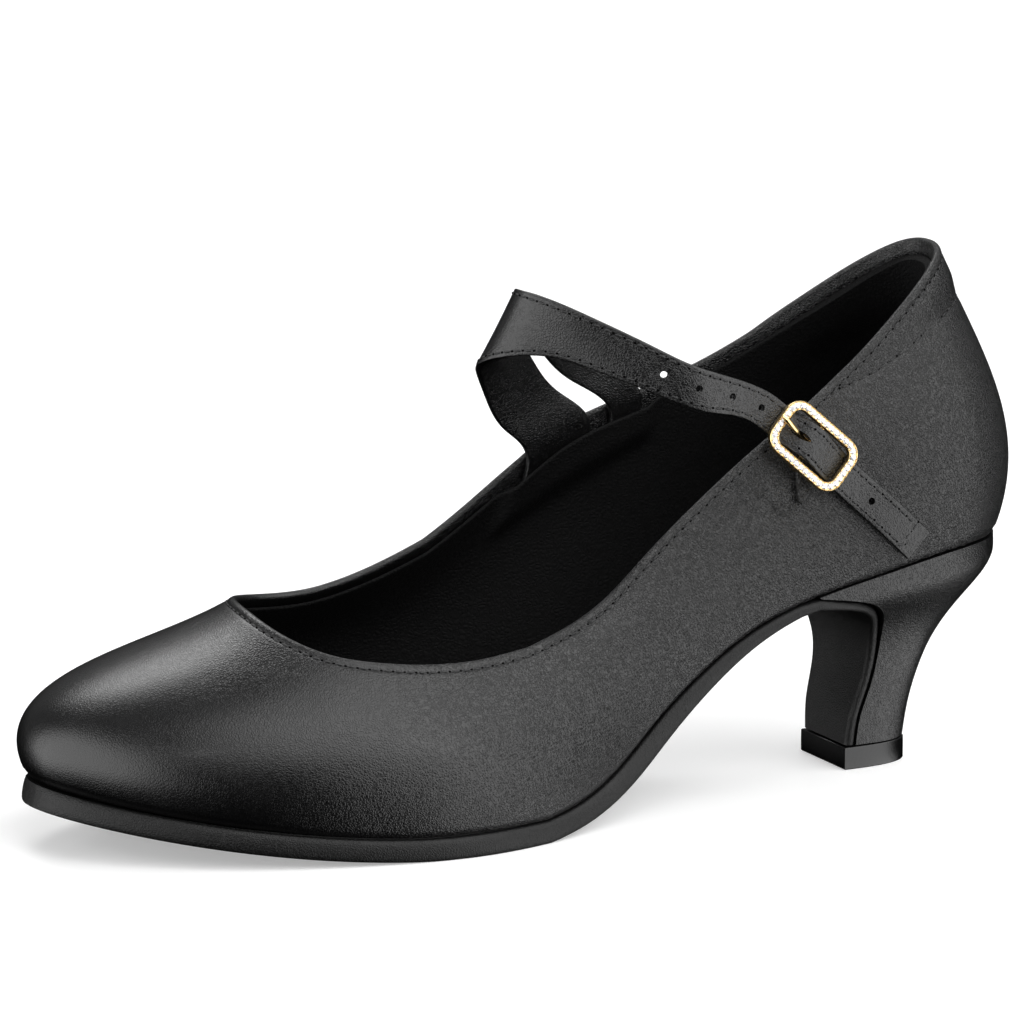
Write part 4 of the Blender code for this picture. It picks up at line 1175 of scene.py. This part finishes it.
def metal(name, colour, roughness):
    """Polished plate with a fine, uneven lustre."""
    material = bpy.data.materials.new(name)
    material.use_nodes = True
    nodes, links = material.node_tree.nodes, material.node_tree.links
    surface = nodes["Principled BSDF"]
    surface.inputs["Base Color"].default_value = (*colour, 1)
    surface.inputs["Metallic"].default_value = 1.0
    where = nodes.new("ShaderNodeTexCoord")
    wear = nodes.new("ShaderNodeTexNoise")
    wear.inputs["Scale"].default_value = 900
    wear.inputs["Detail"].default_value = 5
    links.new(where.outputs["Object"], wear.inputs["Vector"])
    lustre = nodes.new("ShaderNodeMapRange")
    lustre.inputs["To Min"].default_value = roughness - 0.06
    lustre.inputs["To Max"].default_value = roughness + 0.08
    links.new(wear.outputs["Fac"], lustre.inputs["Value"])
    links.new(lustre.outputs["Result"], surface.inputs["Roughness"])
    bump = nodes.new("ShaderNodeBump")
    bump.inputs["Distance"].default_value = 0.00002
    bump.inputs["Strength"].default_value = 0.5
    links.new(wear.outputs["Fac"], bump.inputs["Height"])
    links.new(bump.outputs["Normal"], surface.inputs["Normal"])
    return material


def ring_line(half_long, half_wide, corner, count):
    """Points round a rounded rectangle, evenly spaced, and the way out of it in its plane."""
    points = []
    for quarter in range(4):
        x = (half_long - corner) * (1 if quarter in (0, 3) else -1)
        y = (half_wide - corner) * (1 if quarter in (0, 1) else -1)
        for share in np.linspace(0, 1, 16):
            angle = math.pi / 2 * (quarter + share)
            points.append((x + corner * math.cos(angle), y + corner * math.sin(angle)))
    points = np.array(points + points[:1])
    run = np.concatenate([[0], np.cumsum(np.hypot(*np.diff(points, axis=0).T))])
    even = np.linspace(0, run[-1], count, endpoint=False)
    line = np.stack([np.interp(even, run, points[:, 0]), np.interp(even, run, points[:, 1])], -1)
    ahead = np.roll(line, -1, 0) - np.roll(line, 1, 0)
    out = np.stack([ahead[:, 1], -ahead[:, 0]], -1)
    return line, out / np.linalg.norm(out, axis=1, keepdims=True)


gold_plate = metal("gold plate", GOLD, 0.20)
ring_middle, ring_out = ring_line(
    (BUCKLE_LENGTH - BUCKLE_BAND) / 2, (BUCKLE_WIDTH - BUCKLE_BAND) / 2, BUCKLE_CORNER - BUCKLE_BAND / 2, 160)
half_band, half_thick = BUCKLE_BAND / 2, BUCKLE_THICKNESS / 2
ring_profile = (
    (-1.00, -0.55), (-0.93, -0.85), (-0.75, -1.00), (0.75, -1.00), (0.93, -0.85), (1.00, -0.55),
    (1.00, 0.55), (0.97, 0.80), (0.88, 0.90), (0.78, 0.80), (0.72, 0.55),
    (-0.72, 0.55), (-0.78, 0.80), (-0.88, 0.90), (-0.97, 0.80), (-1.00, 0.55))
buckle_level = BUCKLE_LEVEL + half_thick
ring_rows = []
for across, up in ring_profile:
    row = ring_middle + ring_out * across * half_band
    ring_rows.append(np.column_stack([row, np.full(len(row), buckle_level + up * half_thick)]))
ring = skin("buckle_frame", ring_rows, gold_plate, 40)
bar_parts = bmesh.new()
bar_turn = Matrix.Translation((0, 0, BAR_LEVEL)) @ Matrix.Rotation(math.pi / 2, 4, "X")
bmesh.ops.create_cone(bar_parts, cap_ends=True, segments=24, radius1=BAR_RADIUS, radius2=BAR_RADIUS,
                      depth=BUCKLE_WIDTH - BUCKLE_BAND, matrix=bar_turn)
lug_foot, lug_top = BAR_LEVEL - BAR_RADIUS - GAP, buckle_level
for side in (-1, 1):
    middle = (0, side * (BUCKLE_WIDTH / 2 - half_band), (lug_foot + lug_top) / 2)
    size = Matrix.Diagonal((4 * BAR_RADIUS, BUCKLE_BAND * 0.7, lug_top - lug_foot, 1))
    bmesh.ops.create_cube(bar_parts, size=1, matrix=Matrix.Translation(middle) @ size)
bar_mesh = bpy.data.meshes.new("bar")
bar_parts.to_mesh(bar_mesh)
bar_parts.free()
bar = settle("buckle_bar", bar_mesh, gold_plate, 40)
rounded = bar.modifiers.new("cast edge", "BEVEL")
rounded.width = 0.00018
rounded.segments = 2
rounded.limit_method = "ANGLE"
for piece in (ring, bar):
    piece.data.transform(buckle_matrix())
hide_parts("buckle_frame")
for piece in (ring, bar):
    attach(piece, "root")


def stone_mesh():
    """A round brilliant from its girdle up: table, eight stars and kites, and a short pavilion."""
    levels = ((0.30, -0.55, 0), (1.0, -0.08, 0), (1.0, 0.06, 0), (0.80, 0.34, 0.5), (0.52, 0.52, 0))
    rings = []
    for radius, up, twist in levels:
        reach = STONE_RADIUS * radius
        rings.append([(reach * math.cos(a), reach * math.sin(a), STONE_RADIUS * up)
                      for a in (np.arange(8) + twist) * math.pi / 4])
    return capped("stone seed", rings, stone_glass, 0)


def bead_mesh():
    """A tiny ball of plate that holds a stone's edge."""
    edit = bmesh.new()
    bmesh.ops.create_icosphere(edit, subdivisions=1, radius=STONE_RADIUS * 0.20)
    mesh = bpy.data.meshes.new("bead seed")
    edit.to_mesh(mesh)
    edit.free()
    return settle("bead seed", mesh, gold_plate, 80)


stone_glass = bpy.data.materials.new("foiled glass")
stone_glass.use_nodes = True
stone_surface = stone_glass.node_tree.nodes["Principled BSDF"]
stone_surface.inputs["Base Color"].default_value = (0.90, 0.90, 0.93, 1)
stone_surface.inputs["Metallic"].default_value = 0.45
stone_surface.inputs["Roughness"].default_value = 0.04
stone_surface.inputs["Coat Weight"].default_value = 1.0
stone_surface.inputs["Coat Roughness"].default_value = 0.02
stone_seed, bead_seed = stone_mesh(), bead_mesh()


def setting_tree():
    """Geometry nodes that set a count of copies evenly round a closed line, each turned a little."""
    tree = bpy.data.node_groups.new("stone setting", "GeometryNodeTree")
    tree.interface.new_socket("Geometry", in_out="INPUT", socket_type="NodeSocketGeometry")
    tree.interface.new_socket("Count", in_out="INPUT", socket_type="NodeSocketInt")
    tree.interface.new_socket("Copy", in_out="INPUT", socket_type="NodeSocketObject")
    tree.interface.new_socket("Finish", in_out="INPUT", socket_type="NodeSocketMaterial")
    tree.interface.new_socket("Lean", in_out="INPUT", socket_type="NodeSocketFloat")
    tree.interface.new_socket("Geometry", in_out="OUTPUT", socket_type="NodeSocketGeometry")
    nodes, links = tree.nodes, tree.links
    given = nodes.new("NodeGroupInput")
    result = nodes.new("NodeGroupOutput")
    line = nodes.new("GeometryNodeMeshToCurve")
    spots = nodes.new("GeometryNodeCurveToPoints")
    spots.mode = "COUNT"
    seed = nodes.new("GeometryNodeObjectInfo")
    turn = nodes.new("FunctionNodeRandomValue")
    turn.data_type = "FLOAT_VECTOR"
    turn.inputs["Seed"].default_value = 7
    lowest = nodes.new("ShaderNodeCombineXYZ")
    highest = nodes.new("ShaderNodeCombineXYZ")
    minus = nodes.new("ShaderNodeMath")
    minus.operation = "MULTIPLY"
    minus.inputs[1].default_value = -1
    highest.inputs["Z"].default_value = math.pi
    copies = nodes.new("GeometryNodeInstanceOnPoints")
    real = nodes.new("GeometryNodeRealizeInstances")
    plate = nodes.new("GeometryNodeSetMaterial")
    links.new(given.outputs["Geometry"], line.inputs["Mesh"])
    links.new(line.outputs["Curve"], spots.inputs["Curve"])
    links.new(given.outputs["Count"], spots.inputs["Count"])
    links.new(given.outputs["Copy"], seed.inputs["Object"])
    links.new(given.outputs["Lean"], minus.inputs[0])
    for axis in ("X", "Y"):
        links.new(minus.outputs[0], lowest.inputs[axis])
        links.new(given.outputs["Lean"], highest.inputs[axis])
    links.new(lowest.outputs[0], turn.inputs["Min"])
    links.new(highest.outputs[0], turn.inputs["Max"])
    links.new(turn.outputs["Value"], copies.inputs["Rotation"])
    links.new(spots.outputs["Points"], copies.inputs["Points"])
    links.new(seed.outputs["Geometry"], copies.inputs["Instance"])
    links.new(copies.outputs["Instances"], real.inputs["Geometry"])
    links.new(real.outputs["Geometry"], plate.inputs["Geometry"])
    links.new(given.outputs["Finish"], plate.inputs["Material"])
    links.new(plate.outputs["Geometry"], result.inputs["Geometry"])
    return tree


stone_setting = setting_tree()


def set_round(name, inset, level, count, copy, finish, lean):
    """Copies of a seed all round the ring, at an inset from the band's middle and a level."""
    line = ring_middle + ring_out * inset
    mesh = bpy.data.meshes.new(name + " path")
    ring_edges = [(i, (i + 1) % len(line)) for i in range(len(line))]
    mesh.from_pydata(np.column_stack([line, np.full(len(line), level)]).tolist(), ring_edges, [])
    holder = bpy.data.objects.new(name + " path", mesh)
    bpy.context.scene.collection.objects.link(holder)
    setter = holder.modifiers.new("setter", "NODES")
    setter.node_group = stone_setting
    give_inputs(setter, {"Count": count, "Copy": copy, "Finish": finish, "Lean": lean})
    piece = bpy.data.objects.new(name, made_plain(holder))
    bpy.context.scene.collection.objects.link(piece)
    bpy.data.objects.remove(holder)
    piece.data.transform(buckle_matrix())
    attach(piece, "root")
    return piece


channel_level = buckle_level + half_thick * 0.62
set_round("stones", 0, channel_level, STONES, stone_seed, stone_glass, 0.10)
for name, inset in (("beads_outside", 0.62), ("beads_inside", -0.62)):
    beads = set_round(name, inset * half_band, channel_level + 0.00022, STONES, bead_seed, gold_plate, 0.0)
bpy.data.objects.remove(stone_seed)
bpy.data.objects.remove(bead_seed)


# The prong: a gold wire with its eye turned round the bar, brought up through the strap's hole and
# flattened where it rests on the ring.
eye = BAR_RADIUS + PIN_PLAY + PIN_RADIUS
pin_route = [(eye * math.cos(a), BAR_LEVEL + eye * math.sin(a))
             for a in np.radians(np.linspace(195, 450, 24))]
over_ring = BUCKLE_LEVEL + BUCKLE_THICKNESS + GAP + PIN_RADIUS
pin_rise = over_ring - BAR_LEVEL - eye
pin_climb = np.array((
    (0.00, 0.00), (0.14, 0.00), (0.26, 0.04), (0.38, 0.20),
    (0.50, 0.45), (0.64, 0.75), (0.78, 0.96), (1.00, 1.00)))
for share in np.linspace(0.05, 1.0, 26):
    lift = spline(pin_climb[:, 0], pin_climb[:, 1], share)
    pin_route.append((-BUCKLE_LENGTH / 2 * share, BAR_LEVEL + eye + pin_rise * float(lift)))
pin_route = np.array(pin_route)
pin_run = unit(np.gradient(pin_route, axis=0))
pin_rings = []
for index, ((x, z), (run_x, run_z)) in enumerate(zip(pin_route, pin_run)):
    from_tip = (len(pin_route) - 1 - index) / 26
    wide = PIN_RADIUS * (1.25 if from_tip < 1 else 1.0) * min(1.0, 0.45 + from_tip * 4)
    flat = PIN_RADIUS * min(1.0, 0.5 + from_tip * 4)
    pin_rings.append([(x - run_z * flat * math.sin(a), wide * math.cos(a), z + run_x * flat * math.sin(a))
                      for a in np.linspace(0, 2 * math.pi, 17)[:-1]])
gold_wire = metal("gold wire", (0.90, 0.66, 0.30), 0.17)
prong = capped("prong", pin_rings, gold_wire, 60)
prong.data.transform(buckle_matrix())
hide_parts("prong")
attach(prong, "root")


# The keeper: on the shoe a narrow leather tab folded round the bar and sewn to the quarter; here drawn only
# as a flat tab with a low hump, lying on the quarter under the ring's lower side.
TAB_LEATHER = 0.0009
TAB_SHOWS = 0.0040
tab_start = STRAP_NARROW / 2 + GAP
tab_end = BUCKLE_WIDTH / 2 + TAB_SHOWS
tab_rings = []
for share in np.linspace(0, 1, 22):
    across = tab_start + (tab_end - tab_start) * share
    low = 0.02 + (0.27 - 0.02) * share ** 1.3
    high = 0.36 + (0.34 - 0.36) * share
    hump = 0.0005 * math.sin(share * math.pi * 0.9)
    ring_points = []
    for part, lift in [(s, 1) for s in np.linspace(0, 1, 8)] + [(s, 0) for s in np.linspace(1, 0, 8)]:
        edge = min(1.0, 6 * min(part, 1 - part) + 0.35)
        up = GAP + (TAB_LEATHER * edge if lift else 0) + hump
        ring_points.append(((low + (high - low) * part) * BUCKLE_LENGTH, -across, up))
    tab_rings.append(ring_points)
tab_leather = leather("tab leather", (0.0034, 0.0034, 0.0035), 0.45, 0.0006, 0.00012)
keeper = capped("keeper", tab_rings, tab_leather, 60)
keeper.data.transform(buckle_matrix())
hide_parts("keeper")
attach(keeper, "root")

low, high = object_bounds()
